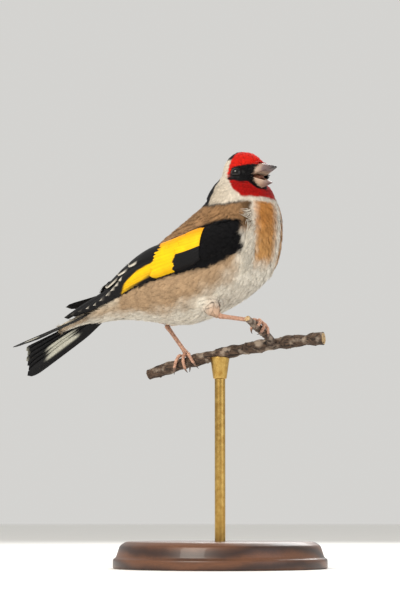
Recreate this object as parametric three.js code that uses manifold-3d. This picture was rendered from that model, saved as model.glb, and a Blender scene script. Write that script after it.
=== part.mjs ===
// A european goldfinch at life size, perched on a short cut length of branch on a turned stand.
// Millimetres, +Z up. The origin is the centre of the stand's underside, on the table.
// The bird has a frame of its own: +X towards its breast, +Y to its left, and Z shared with the part.
import * as THREE from "three";
import { mergeVertices } from "three/addons/utils/BufferGeometryUtils.js";
import Module from "manifold-3d";

const wasm = await Module();
wasm.setup();

// Driving dimensions
const GAP = 0.3; // between pieces that touch
const BODY_PLACE = [-5.6, -4.8]; // where the bird frame's axis stands in the part
const BODY_YAW = -27; // degrees, turned towards -Y
const HEAD_CENTRE = [14.6, 1, 145.8]; // in the bird frame
const HEAD_TURN = -26; // degrees, on from the body's yaw
const EYE_RADIUS = 2.15;
const EYE_PLACE = [5.2, 6.1, 0.1]; // forwards, sideways and up from the head's centre
const BILL_BASE = [6.4, -1]; // forwards and up from the head's centre, inside the feathers
const UPPER_BILL = { length: 14.6, width: 4, rise: 4.6, drop: 1.2, pitch: 7 };
const LOWER_BILL = { length: 12.4, width: 3.6, rise: 0.6, drop: 4.6, pitch: -16 };
const FEATHER_THICKNESS = 0.9; // of the closed fans of tail and wing tip
const TAIL_LENGTH = { right: 38, left: 43 };
const TAIL_HALF_WIDTH = 12;
const TAIL_FORK = 5;
const TARSUS_RADIUS = 0.85;
const TOE_RADIUS = 0.62;
const CLAW_RADIUS = 0.42;
const PERCH_RADIUS = 2.2;
const PERCH_SLOPE = [1, -0.42, 0.2]; // the way the branch runs over the rod, up to the right
const PERCH_BEND = -0.0021; // how it droops away from the rod, per millimetre squared
const PERCH_REACH = [-27, 38]; // along X, from the rod
const PERCH_HEIGHT = 80; // of its axis, over the rod
const TWIG_RADIUS = 1.45;
const BASE_RADIUS = 40;
const BASE_HEIGHT = 10;
const ROD_RADIUS = 2;
const FERRULE_RADIUS = 3.6;
const FERRULE_HEIGHT = 5;

const rad = THREE.MathUtils.degToRad;
const vec = (x, y, z) => new THREE.Vector3(x, y, z);

// Frames of the bird, its head and its mandibles, as matrices into the part's frame
const birdFrame = new THREE.Matrix4()
  .makeRotationZ(rad(BODY_YAW))
  .setPosition(BODY_PLACE[0], BODY_PLACE[1], 0);
const headFrame = birdFrame
  .clone()
  .multiply(new THREE.Matrix4().makeTranslation(...HEAD_CENTRE))
  .multiply(new THREE.Matrix4().makeRotationZ(rad(HEAD_TURN)));
const mandibleFrame = (pitch) =>
  headFrame
    .clone()
    .multiply(new THREE.Matrix4().makeTranslation(BILL_BASE[0], 0, BILL_BASE[1]))
    .multiply(new THREE.Matrix4().makeRotationY(rad(-pitch)));

// A station is the place c of a cross-section and its two half-axes a and b.
const station = (c, a, b) => ({ c: vec(...c), a: vec(...a), b: vec(...b) });
const placed = (stations, frame) =>
  stations.map(({ c, a, b }) => ({
    c: c.clone().applyMatrix4(frame),
    a: a.clone().transformDirection(frame).multiplyScalar(a.length()),
    b: b.clone().transformDirection(frame).multiplyScalar(b.length()),
  }));
const mirrored = (stations) =>
  stations.map(({ c, a, b }) => ({
    c: c.clone().setY(-c.y),
    a: a.clone().setY(-a.y),
    b: b.clone().setY(-b.y),
  }));

// Turns a geometry whose faces point inwards the right way round.
function outward(geometry) {
  const p = geometry.attributes.position;
  const index = geometry.index.array;
  const corner = (i) => vec().fromBufferAttribute(p, index[i]);
  let volume = 0;
  for (let i = 0; i < index.length; i += 3)
    volume += corner(i).dot(corner(i + 1).cross(corner(i + 2)));
  if (volume < 0)
    for (let i = 0; i < index.length; i += 3)
      [index[i + 1], index[i + 2]] = [index[i + 2], index[i + 1]];
  return geometry;
}

const bare = (geometry) => {
  geometry.deleteAttribute("normal");
  geometry.deleteAttribute("uv");
  return outward(mergeVertices(geometry, 1e-3));
};

// A smooth skin through cross-sections: a sphere whose rows become the rings, round at both ends.
// The cap is how far an end bulges past its last station. grow makes the same shape thicker all over.
function loft(stations, { sides = 20, steps = 2, caps = [1, 1], capRows = 2, grow = 0 } = {}) {
  const curve = (key) => new THREE.CatmullRomCurve3(stations.map((s) => s[key]), false, "catmullrom", 0.5);
  const [centres, wides, highs] = ["c", "a", "b"].map(curve);
  const between = (stations.length - 1) * steps;
  const rows = between + 2 * capRows;
  const sphere = new THREE.SphereGeometry(1, sides, rows);
  const p = sphere.attributes.position;
  for (let i = 0; i < p.count; i++) {
    const row = Math.floor(i / (sides + 1));
    const turn = (2 * Math.PI * (i % (sides + 1))) / sides;
    const along = THREE.MathUtils.clamp((row - capRows) / between, 0, 1);
    const past = row < capRows ? row - capRows : Math.max(0, row - capRows - between);
    const lean = (Math.PI / 2) * (past / capRows);
    const centre = centres.getPoint(along);
    const wide = wides.getPoint(along);
    const high = highs.getPoint(along);
    wide.setLength(wide.length() + grow);
    high.setLength(high.length() + grow);
    const way = centres.getTangent(along);
    const cap = past < 0 ? caps[0] : caps[1];
    centre.addScaledVector(way, Math.sin(lean) * (cap + grow));
    const size = Math.abs(past) === capRows ? 0 : Math.cos(lean);
    centre.addScaledVector(wide, size * Math.cos(turn));
    centre.addScaledVector(high, size * Math.sin(turn));
    p.setXYZ(i, centre.x, centre.y, centre.z);
  }
  return bare(sphere);
}

// Solids for cutting and joining
const solid = (geometry) =>
  new wasm.Manifold(
    new wasm.Mesh({
      numProp: 3,
      vertProperties: new Float32Array(geometry.attributes.position.array),
      triVerts: new Uint32Array(geometry.index.array),
    }),
  );
const largest = (made) => made.decompose().sort((a, b) => b.volume() - a.volume())[0];
function geometryOf(made) {
  const mesh = largest(made).getMesh();
  const geometry = new THREE.BufferGeometry();
  geometry.setAttribute("position", new THREE.BufferAttribute(mesh.vertProperties, mesh.numProp));
  geometry.setIndex(new THREE.BufferAttribute(mesh.triVerts, 1));
  return geometry;
}
// All that lies past a plane, as a solid block whose near face is half a gap from it.
function side(point, normal) {
  const size = 300;
  const block = new THREE.BoxGeometry(size, size, size).translate(0, 0, size / 2 + GAP / 2);
  const turn = new THREE.Quaternion().setFromUnitVectors(vec(0, 0, 1), normal.clone().normalize());
  block.applyQuaternion(turn).translate(point.x, point.y, point.z);
  return solid(bare(block));
}

const group = new THREE.Group();
function add(name, geometry, { color, roughness = 0.8, metalness = 0 }) {
  const mesh = new THREE.Mesh(geometry, new THREE.MeshStandardMaterial({ color, roughness, metalness }));
  mesh.name = name;
  group.add(mesh);
}

const BUFF = { color: 0xa58a66 };
const WHITE = { color: 0xd8d2c4 };
const RED = { color: 0xc81405 };
const BLACK = { color: 0x101014 };
const YELLOW = { color: 0xf2b800 };
const IVORY = { color: 0xd8c4ae, roughness: 0.45 };
const EYE = { color: 0x0a0706, roughness: 0.08 };
const LEG = { color: 0xc08f76, roughness: 0.6 };
const CLAW = { color: 0x4a3a34, roughness: 0.4 };
const BARK = { color: 0x5a4638, roughness: 0.9 };
const WALNUT = { color: 0x4a2c1a, roughness: 0.45 };
const BRASS = { color: 0xb08d4a, roughness: 0.3, metalness: 1 };

// Trunk: each slice has a point on the back, a point on the belly and a half-width.
const slice = ([backX, backZ], [bellyX, bellyZ], width, aside = 0) =>
  station(
    [(backX + bellyX) / 2, aside, (backZ + bellyZ) / 2],
    [0, width, 0],
    [(backX - bellyX) / 2, 0, (backZ - bellyZ) / 2],
  );
const trunkSlices = [
  slice([-60, 92.8], [-59, 90.2], 2.6, -3.6),
  slice([-50, 98.2], [-49, 93.4], 4.8, -1.4),
  slice([-39, 106.6], [-37, 94.2], 9),
  slice([-28, 114.6], [-22, 92.6], 13),
  slice([-18, 122], [-7, 90.8], 16.2),
  slice([-8, 129], [8, 95.6], 17.8),
  slice([0, 134.5], [20.2, 102.6], 18),
  slice([4.5, 139], [27.6, 111], 17.3),
  slice([7, 142.5], [30.2, 122], 15.4),
  slice([8.5, 145.5], [30, 132.5], 12.4),
  slice([9.6, 148.6], [26.6, 140.6], 8.4),
];
const trunkBlank = (grow) => loft(placed(trunkSlices, birdFrame), { sides: 24, caps: [1.5, 1.8], grow });

// Head: round-crowned, deep at the cheek, closing on the base of the bill.
const ring = (x, y, width, height, z = 0) => station([x, y, z], [0, width, 0], [0, 0, height]);
const headRings = [
  ring(-5.8, 0, 4.4, 5, -0.2),
  ring(-3.2, 0, 6.4, 7.4, 0.4),
  ring(0, 0, 7.5, 8.9, 0.5),
  ring(3.6, 0, 7.3, 8.7, 0.3),
  ring(6.8, 0, 6.3, 7.7, 0.2),
  ring(9.6, 0, 4.9, 6, 0),
];
const headBlank = (grow) =>
  loft(placed(headRings, headFrame), { sides: 20, caps: [2.2, 1], grow });

// Neck: fills the nape between crown and mantle.
const neckRings = [
  station([11, 0, 134], [0, 12.6, 0], [-8.8, 0, 4]),
  station([13, 0.3, 139.5], [0, 10, 0], [-8.4, 0, 3]),
  station([14.8, 0.9, 144.4], [0, 7.8, 0], [-7.4, 0, 1.4]),
];
const neckBlank = (grow) =>
  loft(placed(neckRings, birdFrame), { sides: 20, caps: [2, 2], grow });

// Thighs: feathered shins that come down out of the belly, each to its own heel.
const HEELS = { right: [10.6, -9.6, 92.7], left: [-19.2, 5.5, 91.6] };
const FEET = { right: [24.1, -4.6, 90.6], left: [-10.6, 5.8, 80.3] };
const HIPS = { right: [4, -8, 99], left: [-11, 6, 98] };
function thighRings(name) {
  const hip = vec(...HIPS[name]);
  const heel = vec(...HEELS[name]);
  const at = (t) => hip.clone().lerp(heel, t).toArray();
  return [
    station(at(0), [3.4, 0, 3.4], [0, 4, 0]),
    station(at(0.5), [2.4, 0, 2.4], [0, 3, 0]),
    station(at(1), [0.9, 0, 0.9], [0, 1.25, 0]),
  ];
}
const thighBlank = (name, grow) =>
  loft(placed(thighRings(name), birdFrame), { sides: 14, caps: [2, 0.5], grow });

// Wings: a folded arm over the flank, then the closed fan of the long quills.
// Each slice has a point on the upper edge, one on the lower edge and a half-thickness.
function wingSlice(upper, lower, thick) {
  const u = vec(...upper);
  const l = vec(...lower);
  const across = u.clone().sub(l).multiplyScalar(0.5);
  const out = across.clone().cross(vec(1, 0, 0)).setLength(thick);
  return { c: u.add(l).multiplyScalar(0.5), a: across, b: out };
}
const armSlices = [
  wingSlice([23.4, -13.6, 126.6], [22.4, -14.6, 119.6], 2.6),
  wingSlice([19, -15.4, 127.4], [17.6, -16.4, 115.6], 4),
  wingSlice([9.6, -15.8, 125.8], [7.5, -17.2, 111.6], 4.6),
  wingSlice([-6, -14, 121.2], [-6.5, -16.4, 108.4], 4.7),
  wingSlice([-18, -10.2, 118.6], [-18, -14.4, 105.6], 4.2),
  wingSlice([-30.5, -5.4, 113.2], [-30, -11.4, 102.6], 2.9),
  wingSlice([-41, -3.2, 107.2], [-41, -8.2, 99.2], 1.6),
];
const quillSlices = {
  right: [
    wingSlice([-36, -5.4, 109], [-35, -10.6, 101], 0.9),
    wingSlice([-45, -5.2, 103.6], [-45, -8.6, 98], 0.8),
    wingSlice([-51, -5.8, 99.8], [-51, -8, 96.6], 0.6),
    wingSlice([-57, -6.6, 96], [-57, -7.4, 94.8], 0.42),
  ],
  left: [
    wingSlice([-36, -4.2, 109.4], [-35, -9.2, 102], 0.9),
    wingSlice([-45, -1.6, 106.6], [-46, -6.6, 101], 0.8),
    wingSlice([-53, -0.6, 103.6], [-53, -4, 99.6], 0.6),
    wingSlice([-60.5, 0.6, 100.8], [-60.5, -0.6, 99.8], 0.42),
  ],
};
const sided = (slices, name) => placed(name === "left" ? mirrored(slices) : slices, birdFrame);
const armBlank = (name, grow) => loft(sided(armSlices, name), { sides: 14, caps: [1.4, 1], grow });
const quillBlank = (name, grow) =>
  loft(sided(quillSlices[name], name), { sides: 10, caps: [0.5, 0.6], grow });

// Tail: two half-fans that meet on the midline like a low roof, each with a longer outer feather.
const TAIL_ROOT = [-41, 0, 99.8];
const TAIL_DIP = 24; // degrees, down towards the tip
const TAIL_SWING = 13; // degrees, towards the bird's right
const TAIL_ROLL = { right: 2, left: 43 }; // degrees that each half hangs below the level
function tailHalf(name) {
  const out = name === "left" ? 1 : -1;
  const roll = rad(name === "left" ? -TAIL_ROLL.left : -TAIL_ROLL.right);
  const across = [0, Math.cos(roll) * out, Math.sin(roll)];
  const up = [0, -Math.sin(roll) * out, Math.cos(roll)];
  const frame = birdFrame
    .clone()
    .multiply(new THREE.Matrix4().makeTranslation(...TAIL_ROOT))
    .multiply(new THREE.Matrix4().makeRotationZ(rad(TAIL_SWING)))
    .multiply(new THREE.Matrix4().makeRotationY(rad(-TAIL_DIP)));
  const strip = (t, inner, outer) => {
    const centre = (inner + outer) / 2;
    const half = (outer - inner) / 2;
    return station(
      [-t * TAIL_LENGTH[name], across[1] * centre, across[2] * centre],
      across.map((v) => v * half),
      up.map((v) => v * (FEATHER_THICKNESS / 2)),
    );
  };
  const tip = 1 - TAIL_FORK / TAIL_LENGTH[name];
  return placed(
    [
      strip(0, 0.35, 3.2),
      strip(0.35, 0.35, TAIL_HALF_WIDTH * 0.62),
      strip(0.7, 0.35, TAIL_HALF_WIDTH * 0.9),
      strip(tip, 0.5, TAIL_HALF_WIDTH),
      strip(1, TAIL_HALF_WIDTH * 0.5, TAIL_HALF_WIDTH * 0.86),
    ],
    frame,
  );
}
const tailBlank = (name, grow) => loft(tailHalf(name), { sides: 10, caps: [0.5, 0.8], grow });

// Mandibles: a half-cone each, deepest at the face, meeting on the cutting edges.
function mandible({ length, width, rise, drop, pitch }, grow) {
  const taper = [1, 0.9, 0.7, 0.42, 0.1];
  const rings = taper.map((t, i) => {
    const x = (length * i) / (taper.length - 1);
    return station([x, 0, ((rise - drop) * t) / 2], [0, width * t, 0], [0, 0, ((rise + drop) * t) / 2]);
  });
  return loft(placed(rings, mandibleFrame(pitch)), { sides: 14, caps: [0.4, 0.4], grow });
}

// Body cut into its named parts by thin planes
const bird = (x, y, z) => vec(x, y, z).applyMatrix4(birdFrame);
const birdWay = (x, y, z) => vec(x, y, z).transformDirection(birdFrame);
const flesh = [neckBlank(0), headBlank(0)].reduce((sum, g) => sum.add(solid(g)), solid(trunkBlank(0)));
const throat = { point: bird(13, 0, 139.6), normal: birdWay(-0.2, 0, 1) };
const collar = { point: bird(14, 0, 131), normal: birdWay(0.1, 0, 1) };
const vent = { point: bird(-31, 0, 103), normal: birdWay(-1, 0, -0.25) };
const beyond = ({ point, normal }) => side(point, normal);
const before = ({ point, normal }) => side(point, normal.clone().negate());

const sides = ["right", "left"];
const eyeCentre = (name) =>
  vec(EYE_PLACE[0], name === "left" ? EYE_PLACE[1] : -EYE_PLACE[1], EYE_PLACE[2]).applyMatrix4(headFrame);
const eyeBall = (name, grow) =>
  bare(new THREE.SphereGeometry(EYE_RADIUS + grow, 16, 10)).translate(...eyeCentre(name).toArray());

let head = flesh.intersect(beyond(throat));
for (const name of sides) head = head.subtract(solid(eyeBall(name, GAP)));
add("head", geometryOf(head), RED);
add("neck", geometryOf(flesh.intersect(before(throat)).intersect(beyond(collar))), WHITE);
let trunk = flesh.intersect(before(collar)).intersect(before(vent));
for (const name of sides) trunk = trunk.subtract(solid(thighBlank(name, GAP)));
add("trunk", geometryOf(trunk), BUFF);
add("rump", geometryOf(flesh.intersect(beyond(vent)).intersect(before(collar))), WHITE);
for (const name of sides) add(`eye_${name}`, eyeBall(name, 0), EYE);

const skull = solid(headBlank(GAP)).add(solid(trunkBlank(GAP)));
const upperBill = solid(mandible(UPPER_BILL, 0)).subtract(skull);
const lowerBill = solid(mandible(LOWER_BILL, 0)).subtract(skull).subtract(solid(mandible(UPPER_BILL, GAP)));
add("bill_upper", geometryOf(upperBill), IVORY);
add("bill_lower", geometryOf(lowerBill), IVORY);

const bodyRoom = solid(trunkBlank(GAP)).add(solid(neckBlank(GAP)));
for (const name of sides) add(`thigh_${name}`, geometryOf(solid(thighBlank(name, 0))), WHITE);
let wingsRoom = bodyRoom;
for (const name of sides) {
  const arm = solid(armBlank(name, 0)).subtract(wingsRoom);
  add(`wing_${name}`, geometryOf(arm), YELLOW);
  wingsRoom = wingsRoom.add(solid(armBlank(name, GAP)));
}
for (const name of ["left", "right"]) {
  const quills = solid(quillBlank(name, 0)).subtract(wingsRoom);
  add(`quills_${name}`, geometryOf(quills), BLACK);
  wingsRoom = wingsRoom.add(solid(quillBlank(name, GAP)));
}
for (const name of sides) {
  const fan = solid(tailBlank(name, 0)).subtract(wingsRoom);
  add(`tail_${name}`, geometryOf(fan), BLACK);
  wingsRoom = wingsRoom.add(solid(tailBlank(name, GAP)));
}

// Perch: a knobby cut branch and the side twig that the near foot holds
const perchAt = (x) => vec(x, PERCH_SLOPE[1] * x, PERCH_HEIGHT + PERCH_SLOPE[2] * x + PERCH_BEND * x * x);
const knot = (x) => 1 + 0.1 * Math.sin(x * 0.55) + 0.06 * Math.sin(x * 1.3 + 1);
function perchRings() {
  const way = vec(...PERCH_SLOPE).normalize();
  const flat = vec(0, 0, 1).cross(way).normalize();
  const high = way.clone().cross(flat);
  const count = 12;
  return Array.from({ length: count + 1 }, (_, i) => {
    const x = THREE.MathUtils.lerp(...PERCH_REACH, i / count);
    const radius = PERCH_RADIUS * knot(x);
    return { c: perchAt(x), a: flat.clone().multiplyScalar(radius), b: high.clone().multiplyScalar(radius) };
  });
}
const perch = (grow) => loft(perchRings(), { sides: 12, steps: 1, caps: [0.25, 0.25], capRows: 1, grow });
add("perch", perch(0), BARK);

const twigFoot = bird(...FEET.right);
const toeLift = (radius) => radius + GAP + TOE_RADIUS;
const TWIG_WAY = vec(-0.47, -0.82, 0.3).normalize();
const twigCrown = twigFoot.clone().add(vec(0, 0, -toeLift(TWIG_RADIUS)));
function twigRings() {
  const root = perchAt(20.5).add(vec(-1.6, -1.4, 0.4));
  const tip = twigCrown.clone().addScaledVector(TWIG_WAY, 8.5);
  const path = [root, root.clone().lerp(twigCrown, 0.45).add(vec(1.2, 0, -0.5)), twigCrown, tip];
  const radii = [1.12, 1, 1, 0.8].map((t) => t * TWIG_RADIUS);
  const flat = vec(0, 0, 1).cross(TWIG_WAY).normalize();
  const high = TWIG_WAY.clone().cross(flat);
  return path.map((c, i) => ({
    c,
    a: flat.clone().multiplyScalar(radii[i]),
    b: high.clone().multiplyScalar(radii[i]),
  }));
}
const twig = solid(loft(twigRings(), { sides: 10, steps: 3, caps: [0.4, 0.25], capRows: 1 }));
add("perch_twig", geometryOf(twig.subtract(solid(perch(GAP)))), BARK);

// Legs: a bare shank from the heel to the foot, and toes that wrap the perch
function shank(name) {
  const heel = bird(...HEELS[name]);
  const foot = bird(...FEET[name]);
  const way = foot.clone().sub(heel).normalize();
  const flat = way.clone().cross(vec(0, 0, 1)).normalize();
  const high = flat.clone().cross(way);
  const stations = [0.06, 0.3, 0.7, 0.92].map((t, i) => {
    const radius = TARSUS_RADIUS * [1.15, 0.92, 0.9, 1.1][i];
    return {
      c: heel.clone().lerp(foot, t),
      a: flat.clone().multiplyScalar(radius * 0.85),
      b: high.clone().multiplyScalar(radius),
    };
  });
  return loft(stations, { sides: 8, caps: [0.6, 0.6], capRows: 1 });
}
// Each toe: where it starts on the foot, how it drifts along the perch, how far it wraps, in degrees.
const TOES = {
  inner: { start: -1.65, drift: -2.2, from: 22, wrap: 84, ahead: 1 },
  middle: { start: 0, drift: 0.2, from: 22, wrap: 108, ahead: 1 },
  outer: { start: 1.65, drift: 2.4, from: 22, wrap: 88, ahead: 1 },
  hind: { start: 0.2, drift: 0.2, from: 22, wrap: 80, ahead: -1 },
};
const CLAW_WRAP = 46;
const grips = {
  right: { axis: TWIG_WAY, centre: twigCrown, radius: TWIG_RADIUS },
  left: { axis: vec(...PERCH_SLOPE).normalize().negate(), centre: null, radius: PERCH_RADIUS * 1.06 },
};
const leftFoot = bird(...FEET.left);
grips.left.centre = perchAt(leftFoot.x);
function toePath(name, toe, begin, end, count, lift) {
  const { axis, centre, radius } = grips[name];
  const ahead = axis.clone().cross(vec(0, 0, 1)).normalize();
  if (ahead.dot(birdWay(1, 0, 0)) < 0) ahead.negate();
  const up = axis.clone().cross(ahead).normalize();
  if (up.z < 0) up.negate();
  return Array.from({ length: count + 1 }, (_, i) => {
    const t = begin + ((end - begin) * i) / count;
    const angle = rad(toe.from + toe.wrap * t) * toe.ahead;
    const reach = toeLift(radius) + lift(t);
    return centre
      .clone()
      .addScaledVector(axis, toe.start + toe.drift * t)
      .addScaledVector(up, Math.cos(angle) * reach)
      .addScaledVector(ahead, Math.sin(angle) * reach);
  });
}
function tube(path, radii, axis, grow = 0) {
  const stations = path.map((c, i) => {
    const way = path[Math.min(i + 1, path.length - 1)].clone().sub(path[Math.max(i - 1, 0)]).normalize();
    const out = way.clone().cross(axis).normalize();
    const flat = out.clone().cross(way).normalize();
    const radius = radii(i / (path.length - 1));
    return { c, a: flat.multiplyScalar(radius), b: out.multiplyScalar(radius) };
  });
  return loft(stations, { sides: 7, steps: 1, caps: [0.3, 0.2], capRows: 1, grow });
}
const knuckle = (t) => 0.12 * Math.abs(Math.sin(Math.PI * 2.5 * t));
const toeRadius = (t) => TOE_RADIUS * (1.05 - 0.2 * t);
for (const name of sides) {
  const { axis } = grips[name];
  let leg = solid(shank(name)).subtract(solid(thighBlank(name, GAP)));
  for (const [toeName, toe] of Object.entries(TOES)) {
    const path = toePath(name, toe, 0, 1, 7, knuckle);
    const body = tube(path, toeRadius, axis);
    leg = leg.subtract(solid(tube(path, toeRadius, axis, GAP)));
    const clawEnd = 1 + CLAW_WRAP / toe.wrap;
    const clawBegin = 1.02 + 0.55 / (rad(toe.wrap) * toeLift(grips[name].radius));
    const clawPath = toePath(name, toe, clawBegin, clawEnd, 4, (t) => 0.1 + (t - 1) * 0.6);
    const claw = tube(clawPath, (t) => CLAW_RADIUS * (1.1 - 0.85 * t), axis);
    add(`toe_${toeName}_${name}`, body, LEG);
    add(`claw_${toeName}_${name}`, claw, CLAW);
  }
  add(`shank_${name}`, geometryOf(leg), LEG);
}

// Stand: a turned round base, a brass rod and the ferrule that holds the branch
const BASE_PROFILE = [
  [0, 0],
  [BASE_RADIUS, 0],
  [BASE_RADIUS, BASE_HEIGHT * 0.35],
  [BASE_RADIUS - 1.2, BASE_HEIGHT * 0.42],
  [BASE_RADIUS - 1.6, BASE_HEIGHT * 0.55],
  [BASE_RADIUS - 2.6, BASE_HEIGHT * 0.85],
  [BASE_RADIUS - 5, BASE_HEIGHT],
  [0, BASE_HEIGHT],
];
function lathe(profile, segments) {
  const points = profile.map(([r, z]) => new THREE.Vector2(r, z));
  return bare(new THREE.LatheGeometry(points, segments).rotateX(Math.PI / 2));
}
const perchUnder = PERCH_HEIGHT - PERCH_RADIUS * 1.12;
const rodTop = perchUnder - FERRULE_HEIGHT * 0.35;
const branch = solid(perch(GAP));
const rodProfile = [
  [0, BASE_HEIGHT + GAP],
  [ROD_RADIUS, BASE_HEIGHT + GAP],
  [ROD_RADIUS, rodTop - FERRULE_HEIGHT - GAP],
  [0, rodTop - FERRULE_HEIGHT - GAP],
];
const ferruleProfile = [
  [0, rodTop - FERRULE_HEIGHT],
  [ROD_RADIUS + 0.5, rodTop - FERRULE_HEIGHT],
  [ROD_RADIUS + 0.9, rodTop - FERRULE_HEIGHT * 0.5],
  [FERRULE_RADIUS, rodTop + FERRULE_HEIGHT * 0.6],
  [0, rodTop + FERRULE_HEIGHT * 0.6],
];
add("stand_base", lathe(BASE_PROFILE, 40), WALNUT);
add("stand_rod", lathe(rodProfile, 24), BRASS);
add("stand_ferrule", geometryOf(solid(lathe(ferruleProfile, 24)).subtract(branch)), BRASS);

export default group;
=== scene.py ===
import logging
from dataclasses import dataclass, field
from enum import Enum
from typing import Any, Sequence

import bmesh
import bpy
import numpy as np
from mathutils.bvhtree import BVHTree
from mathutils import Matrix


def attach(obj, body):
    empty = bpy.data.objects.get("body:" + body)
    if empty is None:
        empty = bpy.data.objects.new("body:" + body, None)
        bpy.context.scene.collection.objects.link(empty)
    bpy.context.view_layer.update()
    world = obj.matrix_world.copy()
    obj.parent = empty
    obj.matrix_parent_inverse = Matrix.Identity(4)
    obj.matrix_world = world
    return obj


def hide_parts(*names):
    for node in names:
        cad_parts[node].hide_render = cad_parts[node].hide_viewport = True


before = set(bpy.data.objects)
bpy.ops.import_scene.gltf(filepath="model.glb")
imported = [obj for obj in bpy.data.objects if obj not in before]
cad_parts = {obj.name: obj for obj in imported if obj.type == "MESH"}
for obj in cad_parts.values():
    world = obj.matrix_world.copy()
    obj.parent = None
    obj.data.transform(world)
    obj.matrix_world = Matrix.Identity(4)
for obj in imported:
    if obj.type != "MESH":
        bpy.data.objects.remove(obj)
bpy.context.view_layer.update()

# A european goldfinch at life size on a cut length of branch, held by a turned stand.
# Sizes are in millimetres and angles in degrees; meshes are turned to metres as they are made.

log = logging.getLogger("goldfinch")
MM = 0.001
SEED = 20
# Points nearer to each other than this, in metres, become one.
MERGE = 2e-6
Array = np.ndarray


class Side(Enum):
    """Which side of the bird a paired piece is on, as the sign of its place across the body."""

    RIGHT = -1
    LEFT = 1

    @property
    def word(self) -> str:
        """The side's name as the CAD nodes write it."""
        return self.name.lower()


class Piece(Enum):
    """The record's material slots, by name."""

    HEAD = "plumage_head"
    BODY = "plumage_body"
    WING = "plumage_wing"
    TAIL = "plumage_tail"
    BILL = "bill"
    EYE = "eye"
    LEG = "leg"
    CLAW = "claw"
    BARK = "bark"
    WOOD = "stand_wood"
    METAL = "stand_metal"


# Small geometry helpers


def turn(axis: str, degrees: float) -> Array:
    """A rotation about one axis.

    Args:
        axis: "y" or "z".
        degrees: The angle, right-handed.

    Returns:
        A 4 by 4 matrix.
    """
    c, s = np.cos(np.radians(degrees)), np.sin(np.radians(degrees))
    matrix = np.eye(4)
    if axis == "z":
        matrix[:2, :2] = [[c, -s], [s, c]]
    else:
        matrix[0, [0, 2]] = [c, s]
        matrix[2, [0, 2]] = [-s, c]
    return matrix


def shift(x: float, y: float, z: float) -> Array:
    """A move, as a 4 by 4 matrix."""
    matrix = np.eye(4)
    matrix[:3, 3] = [x, y, z]
    return matrix


def place(matrix: Array, points: Array) -> Array:
    """Points moved by a frame, for an array of any shape that ends in 3."""
    return np.asarray(points, float) @ matrix[:3, :3].T + matrix[:3, 3]


def unplace(matrix: Array, points: Array) -> Array:
    """Points of the part read in a frame of its own."""
    return (np.asarray(points, float) - matrix[:3, 3]) @ matrix[:3, :3]


def unit(vectors: Array) -> Array:
    """Vectors at length one."""
    vectors = np.asarray(vectors, float)
    return vectors / np.maximum(np.linalg.norm(vectors, axis=-1, keepdims=True), 1e-9)


def ramp(value: Array, low: float, high: float) -> Array:
    """Rises smoothly from 0 at low to 1 at high; low may be the larger of the two."""
    t = np.clip((np.asarray(value, float) - low) / (high - low), 0, 1)
    return t * t * (3 - 2 * t)


def mix(first: Array, second: Array, share: Array) -> Array:
    """Blends two colours by a share for each point."""
    share = np.asarray(share, float)[..., None]
    return first * (1 - share) + second * share


def mix_number(first: Array, second: float, share: Array) -> Array:
    """Blends two numbers by a share for each place."""
    return first * (1 - share) + second * share


def linear(code: str) -> Array:
    """An sRGB hex colour as linear red, green and blue."""
    value = np.array([int(code[i : i + 2], 16) / 255 for i in (1, 3, 5)])
    return np.where(value <= 0.04045, value / 12.92, ((value + 0.055) / 1.055) ** 2.4)


def wobble(points: Array, size: float) -> Array:
    """A smooth seedless waver between -1 and 1, for borders that are not ruled.

    Args:
        points: Places in millimetres.
        size: The length of one waver in millimetres.

    Returns:
        One number for each place.
    """
    q = np.asarray(points) * (2 * np.pi / size)
    x, y, z = q[..., 0], q[..., 1], q[..., 2]
    waves = np.sin(x + 0.7 * y) + np.sin(1.3 * y - 0.6 * z + 1) + np.sin(1.1 * z + 0.5 * x + 2.3)
    return (waves + 0.5 * np.sin(2.3 * x - 1.7 * z)) / 3.5


def through(points: Sequence[Sequence[float]], count: int) -> Array:
    """A smooth run of places through a few given ones.

    Args:
        points: The given rows, each of any length.
        count: How many rows to return.

    Returns:
        Evenly stepped rows of a Catmull-Rom curve.
    """
    p = np.asarray(points, float)
    p = np.vstack([2 * p[0] - p[1], p, 2 * p[-1] - p[-2]])
    at = np.linspace(0, len(p) - 3, count)
    i = np.minimum(at.astype(int), len(p) - 4)
    t = (at - i)[:, None]
    a, b, c, d = p[i], p[i + 1], p[i + 2], p[i + 3]
    return 0.5 * (2 * b + (c - a) * t + (2 * a - 5 * b + 4 * c - d) * t**2 + (3 * b - a - 3 * c + d) * t**3)


# Where the bird, its head and its tail are in the part, and the way each faces along its own X.
BIRD = shift(-5.6, -4.8, 0) @ turn("z", -27)
HEAD = BIRD @ shift(14.6, 1, 145.8) @ turn("z", -26)
TAIL_SWING = 13
TAIL_DIP = 24
TAIL = BIRD @ shift(-41, 0, 99.8) @ turn("z", TAIL_SWING) @ turn("y", -TAIL_DIP)


# Meshes


def sheet_faces(rows: int, columns: int, closed: bool = False) -> Array:
    """Quads between the neighbours of one grid of points."""
    last = columns if closed else columns - 1
    i, j = np.meshgrid(np.arange(rows - 1), np.arange(last), indexing="ij")
    k = (j + 1) % columns
    corners = [i * columns + j, i * columns + k, (i + 1) * columns + k, (i + 1) * columns + j]
    return np.stack(corners, -1).reshape(-1, 4)


def many(faces: Array, count: int, stride: int) -> Array:
    """The same faces for each of many alike shapes whose points follow each other."""
    return (faces[None] + np.arange(count)[:, None, None] * stride).reshape(-1, faces.shape[1])


def new_object(name: str, data: Any) -> bpy.types.Object:
    """Puts a mesh, a camera or a light into the scene, at the origin."""
    thing = bpy.data.objects.new(name, data)
    bpy.context.scene.collection.objects.link(thing)
    return thing


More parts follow.
